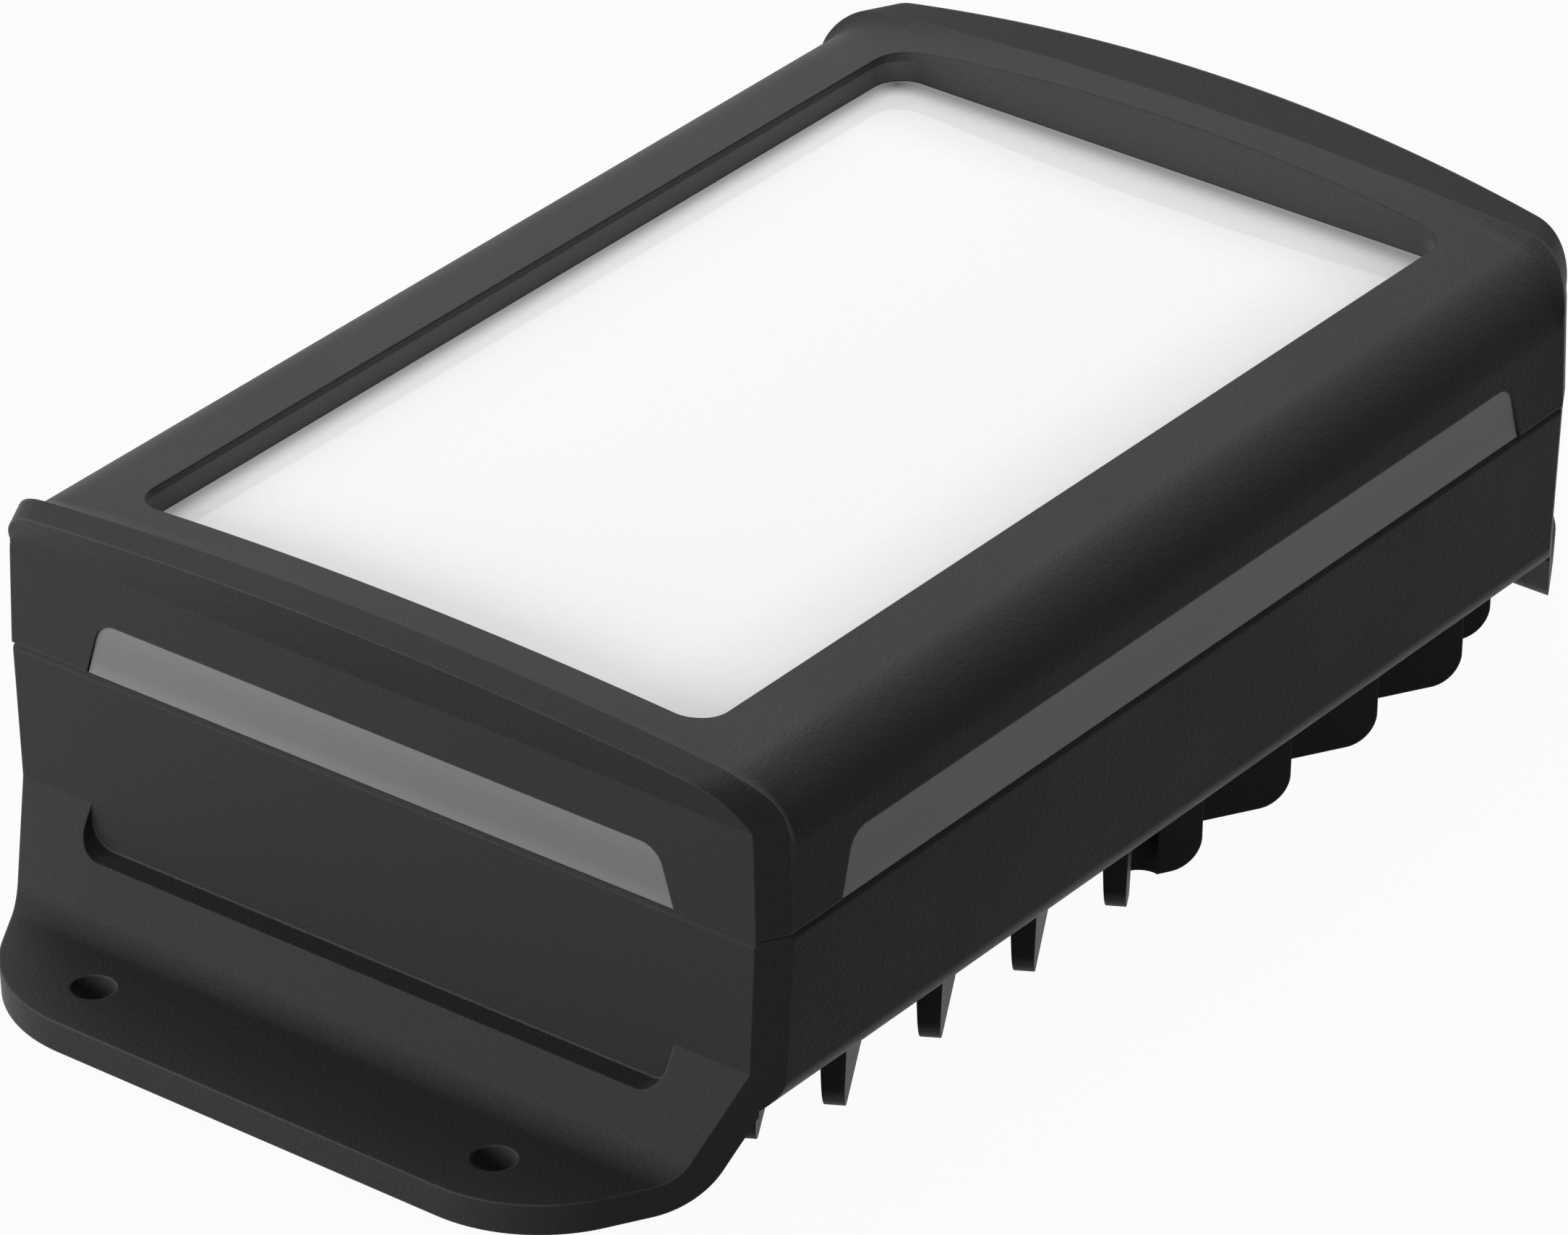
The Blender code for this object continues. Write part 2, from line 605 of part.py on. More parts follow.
def housing_posts():
    """Columns for the cover's screws, and posts and bosses for what is fixed inside."""
    posts = []
    floor = INNER_FLOOR - FLOOR_THICKNESS / 2
    for side in (-1, 1):
        for x in COLUMN_XS:
            posts.append(cylinder("column", COLUMN_RADIUS, floor, RIM_HEIGHT - GAP, (x, side * COLUMN_Y)))
        for x in POST_XS:
            posts.append(cylinder("post", PLATE_POST_RADIUS, floor, PLATE_BOTTOM - GAP, (x, side * POST_Y)))
        boss_x = side * (DRIVER_LENGTH + DRIVER_TAB_LENGTH) / 2
        posts.append(
            cylinder("boss", DRIVER_BOSS_RADIUS, floor, INNER_FLOOR + DRIVER_BOSS_HEIGHT, (boss_x, DRIVER_CENTRE_Y))
        )
    posts.append(
        cylinder("earth_boss", EARTH_BOSS_RADIUS, floor, INNER_FLOOR + EARTH_BOSS_HEIGHT, (EARTH_X, EARTH_Y))
    )
    return posts


def blind_hole(radius, top, depth, centre):
    return cylinder("hole", radius + GAP, top - depth, top + OVERRUN, centre, steps=SMALL_STEPS)


def housing_holes():
    holes = []
    for side in (-1, 1):
        for x in COLUMN_XS:
            centre = (x, side * COLUMN_Y)
            holes.append(cylinder("bore", COVER_SCREW_RADIUS + GAP, 0, PARTING_HEIGHT + OVERRUN, centre, steps=SMALL_STEPS))
            holes.append(cylinder("seat", COVER_SCREW_HEAD_RADIUS + GAP, 0, COLUMN_SEAT, centre, steps=SMALL_STEPS))
        for x in POST_XS:
            holes.append(blind_hole(SMALL_SCREW_RADIUS, PLATE_BOTTOM, SMALL_SCREW_GRIP + GAP, (x, side * POST_Y)))
        boss_x = side * (DRIVER_LENGTH + DRIVER_TAB_LENGTH) / 2
        boss_top = INNER_FLOOR + DRIVER_BOSS_HEIGHT
        small_depth = DRIVER_BOSS_HEIGHT + FLOOR_THICKNESS / 2
        holes.append(blind_hole(SMALL_SCREW_RADIUS, boss_top, small_depth, (boss_x, DRIVER_CENTRE_Y)))
        for foot_side in (-1, 1):
            hole_at = (foot_side * (FOOT_END - FOOT_HOLE_INSET), side * (HALF_WIDTH - FOOT_HOLE_SIDE_INSET))
            holes.append(
                cylinder("foot_hole", FOOT_HOLE_DIAMETER / 2, -OVERRUN, FOOT_THICKNESS + OVERRUN, hole_at)
            )
    earth_top = INNER_FLOOR + EARTH_BOSS_HEIGHT
    holes.append(blind_hole(SMALL_SCREW_RADIUS, earth_top, SMALL_SCREW_GRIP - GAP, (EARTH_X, EARTH_Y)))
    holes.append(cylinder("entry", ENTRY_HOLE_RADIUS, 0, INNER_FLOOR + OVERRUN, (ENTRY_X, 0)))
    holes.append(cylinder("vent", VENT_STEM_RADIUS + GAP, 0, INNER_FLOOR + OVERRUN, (VENT_X, 0)))
    return holes


def rim_groove():
    half_x = HALF_LENGTH - HOUSING_WALL / 2
    half_y = HALF_WIDTH - HOUSING_WALL / 2
    wide = RIM_GASKET_WIDTH / 2 + GAP
    outer = rounded_rectangle(half_x + wide, half_y + wide, RIM_GASKET_RADIUS + wide)
    inner = rounded_rectangle(half_x - wide, half_y - wide, RIM_GASKET_RADIUS - wide)
    return prism("groove", [outer, inner], RIM_HEIGHT - RIM_GASKET_HEIGHT - GAP, PARTING_HEIGHT + OVERRUN)


def make_housing():
    housing = housing_shell()
    fins = fin_quadrant()
    fins = cut(fins, entry_pad())
    housing = four_quarters(join(housing, fins))
    pocket = pocket_cutter()
    housing = cut(housing, mirrored(pocket, "other_pocket", MIRROR_X), pocket)
    housing = join(housing, *housing_posts())
    housing = cut(housing, *housing_holes())
    housing = cut(housing, rim_groove())
    housing.name = "housing"
    housing.data.materials.clear()
    housing.data.materials.append(CAST)
    return smooth(housing)


# The cover's outer skin is a loft of outlines that share their number of points
def domed_outline(half_width, apex, corner_radius, arch_radius):
    """Half of a domed section as (y, z, share of the corner turned), from the foot up to the middle."""
    centre_z = apex - arch_radius
    side = half_width - apex * math.tan(COVER_DRAFT_ANGLE) / 2
    corner_z = centre_z + math.sqrt((arch_radius - corner_radius) ** 2 - (side - corner_radius) ** 2)
    meet = math.atan2(corner_z - centre_z, side - corner_radius)
    points = [(half_width, 0, 0)]
    for i in range(CORNER_STEPS + 1):
        turn = meet * i / CORNER_STEPS
        y = side - corner_radius + corner_radius * math.cos(turn)
        points.append((y, corner_z + corner_radius * math.sin(turn), i / CORNER_STEPS))
    for i in range(1, ARCH_STEPS + 1):
        turn = meet + (math.pi / 2 - meet) * i / ARCH_STEPS
        points.append((arch_radius * math.cos(turn), centre_z + arch_radius * math.sin(turn), 1))
    return points


def front_reach(z):
    """How far the lip's front edge leans out past the end wall at a height over the parting line."""
    return HALF_LENGTH + LIP_FLARE_SLOPE * max(0, z - LIP_FLARE_START)


def cover_rings():
    """The near half's rings, from the lip's front edge over its band to the start of the plain dome."""
    slope_y = CORNER_CUT * math.tan(CUT_ANGLE)
    front = domed_outline(HALF_WIDTH - slope_y, LIP_HEIGHT, LIP_CORNER_RADIUS, LIP_ARCH_RADIUS)
    back = domed_outline(HALF_WIDTH, LIP_BACK_HEIGHT, LIP_BACK_CORNER_RADIUS, LIP_BACK_ARCH_RADIUS)
    dome = domed_outline(HALF_WIDTH, COVER_HEIGHT, COVER_SHOULDER_RADIUS, COVER_ARCH_RADIUS)
    back_ring, dome_ring = [], []
    for (y, z, share), (dome_y, dome_z, _) in zip(back, dome):
        lift = math.sin(share * math.pi / 2) ** 2
        back_ring.append((HALF_LENGTH - CORNER_CUT + (CORNER_CUT - LIP_BACK_INSET) * lift, y, z))
        ramp = LIP_RAMP_SIDE_INSET + (LIP_RAMP_END_INSET - LIP_RAMP_SIDE_INSET) * lift
        dome_ring.append((HALF_LENGTH - ramp, dome_y, dome_z))
    rings = [[(front_reach(z), y, z) for y, z, _ in front], back_ring]
    for along, drop in ((0.35, 0.50), (0.70, 0.87)):
        ring = []
        for back_point, dome_point in zip(back_ring, dome_ring):
            x = back_point[0] + (dome_point[0] - back_point[0]) * along
            ring.append((x, *(a + (b - a) * drop for a, b in zip(back_point[1:], dome_point[1:]))))
        rings.append(ring)
    rings.append(dome_ring)
    return rings


def cover_skin():
    """The closed outer solid of the cover."""
    near = cover_rings()
    rings = [[(-x, y, z) for x, y, z in ring] for ring in near] + list(reversed(near))
    shape = bmesh.new()
    rows = []
    for ring in rings:
        left = [(x, -y, z) for x, y, z in ring]
        right = [(x, y, z) for x, y, z in reversed(ring[:-1])]
        rows.append([shape.verts.new((x, y, z + PARTING_HEIGHT)) for x, y, z in left + right])
    for row, following in zip(rows, rows[1:]):
        for i in range(len(row) - 1):
            shape.faces.new((row[i], row[i + 1], following[i + 1], following[i]))
    shape.faces.new([row[0] for row in rows] + [row[-1] for row in reversed(rows)])
    crease = PARTING_HEIGHT + LIP_FLARE_START
    for row, side in ((rows[0], -1), (rows[-1], 1)):
        wall = []
        flare = []
        for vertex in row:
            if vertex.co.z <= crease + WELD:
                wall.append(vertex)
            else:
                low = shape.verts.new((side * HALF_LENGTH, vertex.co.y, crease))
                wall.append(low)
                flare.append((vertex, low))
        shape.faces.new(wall)
        for (top, low), (next_top, next_low) in zip(flare, flare[1:]):
            shape.faces.new((top, low, next_low, next_top))
        first = wall.index(flare[0][1])
        last = wall.index(flare[-1][1])
        shape.faces.new((wall[first - 1], flare[0][1], flare[0][0]))
        shape.faces.new((flare[-1][0], flare[-1][1], wall[last + 1]))
    bmesh.ops.recalc_face_normals(shape, faces=shape.faces)
    mesh = bpy.data.meshes.new("cover")
    shape.to_mesh(mesh)
    shape.free()
    return link("cover", mesh)


def cover_cavity():
    """The room inside the cover, with a level ceiling and rounded shoulders."""
    inner_half = HALF_WIDTH - COVER_WALL
    inner_radius = COVER_SHOULDER_RADIUS - COVER_WALL
    low = PARTING_HEIGHT - OVERRUN
    outline = [(-inner_half, low), (inner_half, low), (inner_half, CEILING), (-inner_half, CEILING)]
    outline = rounded(outline, (0, 0, inner_radius, inner_radius))
    inner_end = HALF_LENGTH - COVER_WALL
    return prism("room", [outline], -inner_end, inner_end, turn=ALONG_X)


def window_cutters():
    """The straight part of the window opening, and the leaning part above its rim line."""
    outline = rounded_rectangle(WINDOW_HALF_LENGTH, WINDOW_HALF_WIDTH, WINDOW_CORNER_RADIUS)
    high = PARTING_HEIGHT + LIP_HEIGHT + OVERRUN
    straight = prism("window", [outline], LENS_TOP - OVERRUN, high + OVERRUN)
    low = PARTING_HEIGHT + WINDOW_RIM_HEIGHT
    lean = (high - low) * WINDOW_LEAN
    upper = prism("window_lean", [outline], low, high)
    middle = (low + high) / 2
    for vertex in upper.data.vertices:
        if vertex.co.z > middle:
            vertex.co.x += math.copysign(lean, vertex.co.x)
            vertex.co.y += math.copysign(lean, vertex.co.y)
    return straight, upper


def strip_outline(half_length, height, grow=0.0, low=PARTING_HEIGHT):
    """A light strip: wide at the parting line, leaning in at its ends, round at its upper corners."""
    foot = half_length + grow - (low - PARTING_HEIGHT) * STRIP_END_LEAN
    head = half_length + grow - (height + grow) * STRIP_END_LEAN
    top = PARTING_HEIGHT + height + grow
    outline = [(-foot, low), (foot, low), (head, top), (-head, top)]
    return rounded(outline, (0, 0, STRIP_CORNER_RADIUS, STRIP_CORNER_RADIUS))


SIDE_HALF = HALF_LENGTH - SIDE_WINDOW_MARGIN
END_HALF = HALF_WIDTH - END_WINDOW_MARGIN
STRIPS = (
    ("side_window_front", SIDE_HALF, SIDE_WINDOW_HEIGHT, HALF_WIDTH, ALONG_Y, 1),
    ("side_window_rear", SIDE_HALF, SIDE_WINDOW_HEIGHT, HALF_WIDTH, ALONG_Y, -1),
    ("end_window_left", END_HALF, END_WINDOW_HEIGHT, HALF_LENGTH, ALONG_X, -1),
    ("end_window_right", END_HALF, END_WINDOW_HEIGHT, HALF_LENGTH, ALONG_X, 1),
)


def between(face_near, face_far, side):
    """Puts two distances from the middle in rising order, on one side of it."""
    return sorted((side * face_near, side * face_far))


def make_cover():
    high = CEILING + OVERRUN
    columns = []
    for side in (-1, 1):
        for x in COLUMN_XS:
            low = PARTING_HEIGHT - 2 * OVERRUN
            columns.append(cylinder("column", COVER_COLUMN_RADIUS, low, high, (x, side * COLUMN_Y)))
        for x in (-CLIP_SPACING / 2, CLIP_SPACING / 2):
            columns.append(cylinder("boss", CLIP_BOSS_RADIUS, LENS_BOTTOM, high, (x, side * CLIP_Y)))
    room = cut(cover_cavity(), *columns)
    cover = cut(cover_skin(), room)
    cover = cut(cover, *window_cutters())
    cutters = []
    for name, half_length, height, wall, turn, side in STRIPS:
        outline = strip_outline(half_length, height, GAP, PARTING_HEIGHT - OVERRUN)
        low, high = between(wall - COVER_WALL - OVERRUN, wall + OVERRUN, side)
        cutters.append(prism("strip", [outline], low, high, turn=turn))
    for side in (-1, 1):
        for x in COLUMN_XS:
            depth = COVER_SCREW_GRIP + GAP
            centre = (x, side * COLUMN_Y)
            low, high = PARTING_HEIGHT - OVERRUN, PARTING_HEIGHT + depth
            cutters.append(cylinder("bore", COVER_SCREW_RADIUS + GAP, low, high, centre, steps=SMALL_STEPS))
        for x in (-CLIP_SPACING / 2, CLIP_SPACING / 2):
            low, high = LENS_BOTTOM - OVERRUN, CEILING
            centre = (x, side * CLIP_Y)
            cutters.append(cylinder("bore", SMALL_SCREW_RADIUS + GAP, low, high, centre, steps=SMALL_STEPS))
    cover = cut(cover, *cutters)
    cover.name = "cover"
    cover.data.materials.clear()
    cover.data.materials.append(CAST)
    return smooth(cover)


def make_light_strips():
    """Each strip is a plug in the cover's opening with a flange behind the wall."""
    for name, half_length, height, wall, turn, side in STRIPS:
        low = PARTING_HEIGHT + GAP
        plug_low, plug_high = between(wall - COVER_WALL - 2 * GAP, wall - STRIP_RECESS, side)
        plug = prism(name, [strip_outline(half_length, height, 0.0, low)], plug_low, plug_high, turn=turn)
        back = wall - COVER_WALL - GAP
        flange_low, flange_high = between(back - STRIP_FLANGE_THICKNESS, back, side)
        grown = strip_outline(half_length, height, STRIP_FLANGE, low)
        strip = join(plug, prism("flange", [grown], flange_low, flange_high, turn=turn))
        strip.name = name
        strip.data.materials.clear()
        strip.data.materials.append(SMOKED)


def make_lens():
    outline = rounded_rectangle(LENS_HALF_LENGTH, LENS_HALF_WIDTH, WINDOW_CORNER_RADIUS)
    prism("lens", [outline], LENS_BOTTOM, LENS_TOP, FROSTED)
    seat = LENS_MARGIN - LENS_GASKET_WIDTH
    outer = rounded_rectangle(LENS_HALF_LENGTH, LENS_HALF_WIDTH, WINDOW_CORNER_RADIUS)
    inner = rounded_rectangle(WINDOW_HALF_LENGTH + seat, WINDOW_HALF_WIDTH + seat, WINDOW_CORNER_RADIUS - seat)
    prism("lens_gasket", [outer, inner], LENS_TOP + GAP, CEILING - GAP, SILICONE)


def small_screw(seat, centre, grip=SMALL_SCREW_GRIP, up=True):
    """A pan-head screw whose head sits on a face; up is the way its head points."""
    way = 1 if up else -1
    profile = [
        (0, SMALL_SCREW_HEAD_HEIGHT),
        (SMALL_SCREW_HEAD_RADIUS, SMALL_SCREW_HEAD_HEIGHT),
        (SMALL_SCREW_HEAD_RADIUS, 0),
        (SMALL_SCREW_RADIUS, 0),
        (SMALL_SCREW_RADIUS, -grip),
        (0, -grip),
    ]
    made = turned("screw", [(r, way * z) for r, z in profile], (*centre, seat), steps=SMALL_STEPS)
    return made


def make_clips():
    """Flat clips under the lens edge, each with its screw up into the cover."""
    clips, screws = [], []
    top = LENS_BOTTOM - GAP
    for side in (-1, 1):
        for x in (-CLIP_SPACING / 2, CLIP_SPACING / 2):
            outer = CLIP_Y + CLIP_WIDTH / 2
            inner = outer - CLIP_LENGTH
            middle = side * (outer + inner) / 2
            outline = rounded_rectangle(CLIP_WIDTH / 2, CLIP_LENGTH / 2, CLIP_WIDTH / 4, centre=(x, middle))
            clip = prism("clip", [outline], top - CLIP_THICKNESS, top)
            centre = (x, side * CLIP_Y)
            bore = cylinder("bore", SMALL_SCREW_RADIUS + GAP, top - OVERRUN, top + OVERRUN, centre, steps=SMALL_STEPS)
            clips.append(cut(clip, bore))
            grip = CLIP_THICKNESS + GAP + CEILING - LENS_BOTTOM - 2 * GAP
            screws.append(small_screw(top - CLIP_THICKNESS - GAP, centre, grip, up=False))
    number("lens_clip", clips, STEEL)
    number("clip_screw", screws, STEEL)


def make_rim_gasket():
    half_x = HALF_LENGTH - HOUSING_WALL / 2
    half_y = HALF_WIDTH - HOUSING_WALL / 2
    wide = RIM_GASKET_WIDTH / 2
    outer = rounded_rectangle(half_x + wide, half_y + wide, RIM_GASKET_RADIUS + wide)
    inner = rounded_rectangle(half_x - wide, half_y - wide, RIM_GASKET_RADIUS - wide)
    prism("rim_gasket", [outer, inner], RIM_HEIGHT - RIM_GASKET_HEIGHT, RIM_HEIGHT, SILICONE)


def make_cover_screws():
    """Socket-head screws, put in from the back, with their heads up inside the columns."""
    screws = []
    seat = COLUMN_SEAT - GAP
    tip = PARTING_HEIGHT + COVER_SCREW_GRIP
    profile = [
        (0, tip),
        (COVER_SCREW_RADIUS, tip),
        (COVER_SCREW_RADIUS, seat),
        (COVER_SCREW_HEAD_RADIUS, seat),
        (COVER_SCREW_HEAD_RADIUS, seat - COVER_SCREW_HEAD_HEIGHT),
        (0, seat - COVER_SCREW_HEAD_HEIGHT),
    ]
    for side in (-1, 1):
        for x in COLUMN_XS:
            screw = turned("screw", profile, (x, side * COLUMN_Y, 0))
            low = seat - COVER_SCREW_HEAD_HEIGHT - OVERRUN
            high = seat - COVER_SCREW_HEAD_HEIGHT / 2
            centre = (x, side * COLUMN_Y)
            screws.append(cut(screw, cylinder("socket", SCREW_SOCKET_RADIUS, low, high, centre, steps=6)))
    number("cover_screw", screws, STEEL)


def make_plate():
    outline = rounded_rectangle(PLATE_HALF_LENGTH, PLATE_HALF_WIDTH, PLATE_CORNER_RADIUS)
    plate = prism("led_plate", [outline], PLATE_BOTTOM, PLATE_TOP, ALUMINIUM)
    holes, screws = [], []
    for side in (-1, 1):
        for x in POST_XS:
            centre = (x, side * POST_Y)
            low, high = PLATE_BOTTOM - OVERRUN, PLATE_TOP + OVERRUN
            holes.append(cylinder("hole", SMALL_SCREW_RADIUS + GAP, low, high, centre, steps=SMALL_STEPS))
            screws.append(small_screw(PLATE_TOP + GAP, centre, PLATE_THICKNESS + SMALL_SCREW_GRIP))
    low, high = PLATE_BOTTOM - OVERRUN, PLATE_TOP + OVERRUN
    lead_hole = (OUTPUT_LEAD_X, DRIVER_CENTRE_Y + OUTPUT_LEAD_OFFSET)
    holes.append(cylinder("hole", OUTPUT_LEAD_HOLE_RADIUS, low, high, lead_hole, steps=SMALL_STEPS))
    plate = cut(plate, *holes)
    plate.name = "led_plate"
    number("plate_screw", screws, STEEL)


def led_places(board_y):
    for row in range(LED_ROWS):
        for column in range(LED_COLUMNS):
            x = (column - (LED_COLUMNS - 1) / 2) * LED_COLUMN_PITCH
            yield x, board_y + (row - (LED_ROWS - 1) / 2) * LED_ROW_PITCH


def make_boards():
    """Two LED boards with their emitters, each on its thermal pad and under its slotted white sheet."""
    for label, side in (("front", -1), ("rear", 1)):
        y = side * BOARD_SPACING / 2
        pad_size = (BOARD_LENGTH, BOARD_WIDTH, PAD_THICKNESS)
        block(f"thermal_pad_{label}", pad_size, (0, y, PAD_TOP - PAD_THICKNESS / 2), THERMAL)
        board_size = (BOARD_LENGTH, BOARD_WIDTH, BOARD_THICKNESS)
        board = block(f"led_board_{label}", board_size, (0, y, BOARD_TOP - BOARD_THICKNESS / 2), WHITE)
        emitters = []
        for x, led_y in led_places(y):
            emitters.append(block("led", (LED_SIZE, LED_SIZE, 2 * LED_HEIGHT), (x, led_y, BOARD_TOP)))
        join(board, merge("leds", emitters))
        low = BOARD_TOP + GAP
        outline = rounded_rectangle(BOARD_LENGTH / 2, BOARD_WIDTH / 2, LED_SIZE, centre=(0, y))
        slots = []
        for row in range(LED_ROWS):
            slot_y = y + (row - (LED_ROWS - 1) / 2) * LED_ROW_PITCH
            reach = LED_COLUMNS * LED_COLUMN_PITCH / 2 - LED_SIZE
            slots.append(rounded_rectangle(reach, SHEET_SLOT_WIDTH / 2, LED_SIZE / 2, centre=(0, slot_y)))
        prism(f"reflector_sheet_{label}", [outline, *slots], low, low + SHEET_THICKNESS, WHITE)


def make_driver():
    """The sealed LED driver: case, two mounting tabs and two screws."""
    boss_top = INNER_FLOOR + DRIVER_BOSS_HEIGHT
    base = boss_top + GAP
    size = (DRIVER_LENGTH, DRIVER_WIDTH, DRIVER_HEIGHT)
    case_base = INNER_FLOOR + GAP
    case = block("driver", size, (0, DRIVER_CENTRE_Y, case_base + DRIVER_HEIGHT / 2), PLASTIC)
    bevel = case.modifiers.new("edges", "BEVEL")
    bevel.width = DRIVER_EDGE
    bevel.segments = 2
    bpy.context.view_layer.update()
    case = bake(case)
    tabs, screws = [], []
    for side in (-1, 1):
        tab_x = side * (DRIVER_LENGTH + DRIVER_TAB_LENGTH) / 2
        length = DRIVER_TAB_LENGTH + OVERRUN
        centre_x = side * (DRIVER_LENGTH / 2 + DRIVER_TAB_LENGTH / 2 - OVERRUN / 2)
        tab_size = (length, DRIVER_TAB_WIDTH, DRIVER_TAB_THICKNESS)
        tab = block("tab", tab_size, (centre_x, DRIVER_CENTRE_Y, base + DRIVER_TAB_THICKNESS / 2))
        hole = cylinder(
            "hole", SMALL_SCREW_RADIUS + GAP, base - GAP, base + OVERRUN, (tab_x, DRIVER_CENTRE_Y), steps=SMALL_STEPS
        )
        tabs.append(cut(tab, hole))
        grip = DRIVER_TAB_THICKNESS + 2 * GAP + DRIVER_BOSS_HEIGHT
        screws.append(small_screw(base + DRIVER_TAB_THICKNESS + GAP, (tab_x, DRIVER_CENTRE_Y), grip))
    case = join(case, *tabs)
    case.name = "driver"
    case.data.materials.clear()
    case.data.materials.append(PLASTIC)
    number("driver_screw", screws, STEEL)


def make_entry():
    """The cable grommet in the floor."""
    low, high = FLOOR_HEIGHT, INNER_FLOOR
    flange = GROMMET_FLANGE_THICKNESS
    stem = ENTRY_HOLE_RADIUS - GAP
    profile = [
        (GROMMET_BORE_RADIUS, high + GAP + flange),
        (GROMMET_FLANGE_RADIUS, high + GAP + flange),
        (GROMMET_FLANGE_RADIUS, high + GAP),
        (stem, high + GAP),
        (stem, low - GAP),
        (GROMMET_FLANGE_RADIUS, low - GAP),
        (GROMMET_FLANGE_RADIUS, low - GAP - flange),
        (GROMMET_BORE_RADIUS, low - GAP - flange),
        (GROMMET_BORE_RADIUS, high + GAP + flange),
    ]
    smooth(turned("cable_grommet", profile, (ENTRY_X, 0, 0), SILICONE, ROUND_STEPS))


def make_terminal_block():
    base = INNER_FLOOR + GAP
    size = (TERMINAL_LENGTH, TERMINAL_WIDTH, TERMINAL_HEIGHT)
    body = block("terminal_block", size, (ENTRY_X, TERMINAL_Y, base + TERMINAL_HEIGHT / 2), WHITE)
    top = base + TERMINAL_HEIGHT
    wells, screws = [], []
    for pole in range(TERMINAL_POLES):
        x = ENTRY_X + (pole - (TERMINAL_POLES - 1) / 2) * TERMINAL_LENGTH / TERMINAL_POLES
        for side in (-1, 1):
            centre = (x, TERMINAL_Y + side * TERMINAL_WIDTH / 4)
            low = top - TERMINAL_SCREW_DEPTH
            radius = TERMINAL_SCREW_RADIUS
            wells.append(cylinder("well", radius + GAP, low, top + OVERRUN, centre, steps=SMALL_STEPS))
            screws.append(cylinder("screw", radius, low + GAP, top - TERMINAL_SCREW_DEPTH / 2, centre, steps=SMALL_STEPS))
    body = cut(body, *wells)
    body.name = "terminal_block"
    number("terminal_screw", screws, BRASS)


def make_vent():
    """The pressure vent: cap outside, stem through the floor, nut inside."""
    cap_top = FLOOR_HEIGHT - GAP
    stem_top = INNER_FLOOR + VENT_NUT_THICKNESS + 2 * GAP
    profile = [
        (0, stem_top),
        (VENT_STEM_RADIUS, stem_top),
        (VENT_STEM_RADIUS, cap_top),
        (VENT_CAP_RADIUS, cap_top),
        (VENT_CAP_RADIUS, cap_top - VENT_CAP_THICKNESS),
        (0, cap_top - VENT_CAP_THICKNESS),
    ]
    smooth(turned("vent_plug", profile, (VENT_X, 0, 0), PLASTIC, ROUND_STEPS))
    low = INNER_FLOOR + GAP
    nut = cylinder("vent_nut", VENT_NUT_RADIUS, low, low + VENT_NUT_THICKNESS, (VENT_X, 0), PLASTIC, steps=6)
    bore = cylinder("bore", VENT_STEM_RADIUS + GAP, low - OVERRUN, low + 2 * VENT_NUT_THICKNESS, (VENT_X, 0))
    cut(nut, bore).name = "vent_nut"


def make_earth():
    seat = INNER_FLOOR + EARTH_BOSS_HEIGHT + GAP
    centre = (EARTH_X, EARTH_Y)
    washer = cylinder("earth_washer", EARTH_WASHER_RADIUS, seat, seat + EARTH_WASHER_THICKNESS, centre, BRASS)
    low, high = seat - GAP, seat + OVERRUN
    bore = cylinder("bore", SMALL_SCREW_RADIUS + GAP, low, high, centre, steps=SMALL_STEPS)
    cut(washer, bore).name = "earth_washer"
    head = seat + EARTH_WASHER_THICKNESS + GAP
    screw = small_screw(head, centre, SMALL_SCREW_GRIP + EARTH_WASHER_THICKNESS)
    screw.name = "earth_screw"
    screw.data.materials.append(BRASS)
    smooth(screw)


def lead(name, radius, route):
    """A round lead through a route of points, each with the way and reach of its bend."""
    curve = bpy.data.curves.new(name, "CURVE")
    curve.dimensions = "3D"
    curve.bevel_depth = radius
    curve.bevel_resolution = 2
    curve.resolution_u = LEAD_STEPS
    curve.use_fill_caps = True
    spline = curve.splines.new("BEZIER")
    spline.bezier_points.add(len(route) - 1)
    for point, (place, way) in zip(spline.bezier_points, route):
        point.co = place
        point.handle_left = [a - b for a, b in zip(place, way)]
        point.handle_right = [a + b for a, b in zip(place, way)]
    made = link(name, curve)
    bpy.context.view_layer.update()
    made = bake(made)
    made.data.materials.clear()
    made.data.materials.append(PLASTIC)
    return smooth(made)


def make_leads():
    """The lead from the terminal block to the driver, and the one from the driver up to the boards."""
    height = INNER_FLOOR + GAP + DRIVER_HEIGHT / 2
    driver_side = DRIVER_CENTRE_Y + DRIVER_WIDTH / 2 + GAP
    block_end = ENTRY_X + TERMINAL_LENGTH / 2 + GAP
    route = (
        ((INPUT_LEAD_X, driver_side, height), (0, INPUT_LEAD_BEND, 0)),
        ((block_end, TERMINAL_Y, height), (-INPUT_LEAD_BEND, 0, 0)),
    )
    lead("driver_input_lead", LEAD_RADIUS, route)
    y = DRIVER_CENTRE_Y + OUTPUT_LEAD_OFFSET
    board_middle = BOARD_TOP - BOARD_THICKNESS / 2
    route = (
        ((-DRIVER_LENGTH / 2 - GAP, y, height), (-OUTPUT_LEAD_BEND, 0, 0)),
        ((OUTPUT_LEAD_X, y, PLATE_BOTTOM - OUTPUT_LEAD_RADIUS), (0, 0, OUTPUT_LEAD_HOOK)),
        ((-BOARD_LENGTH / 2 - GAP, y, board_middle), (OUTPUT_LEAD_HOOK, 0, 0)),
    )
    lead("driver_output_lead", OUTPUT_LEAD_RADIUS, route)


clear_scene()
PARTS = bpy.data.collections.new("outdoor_wall_light")
bpy.context.scene.collection.children.link(PARTS)

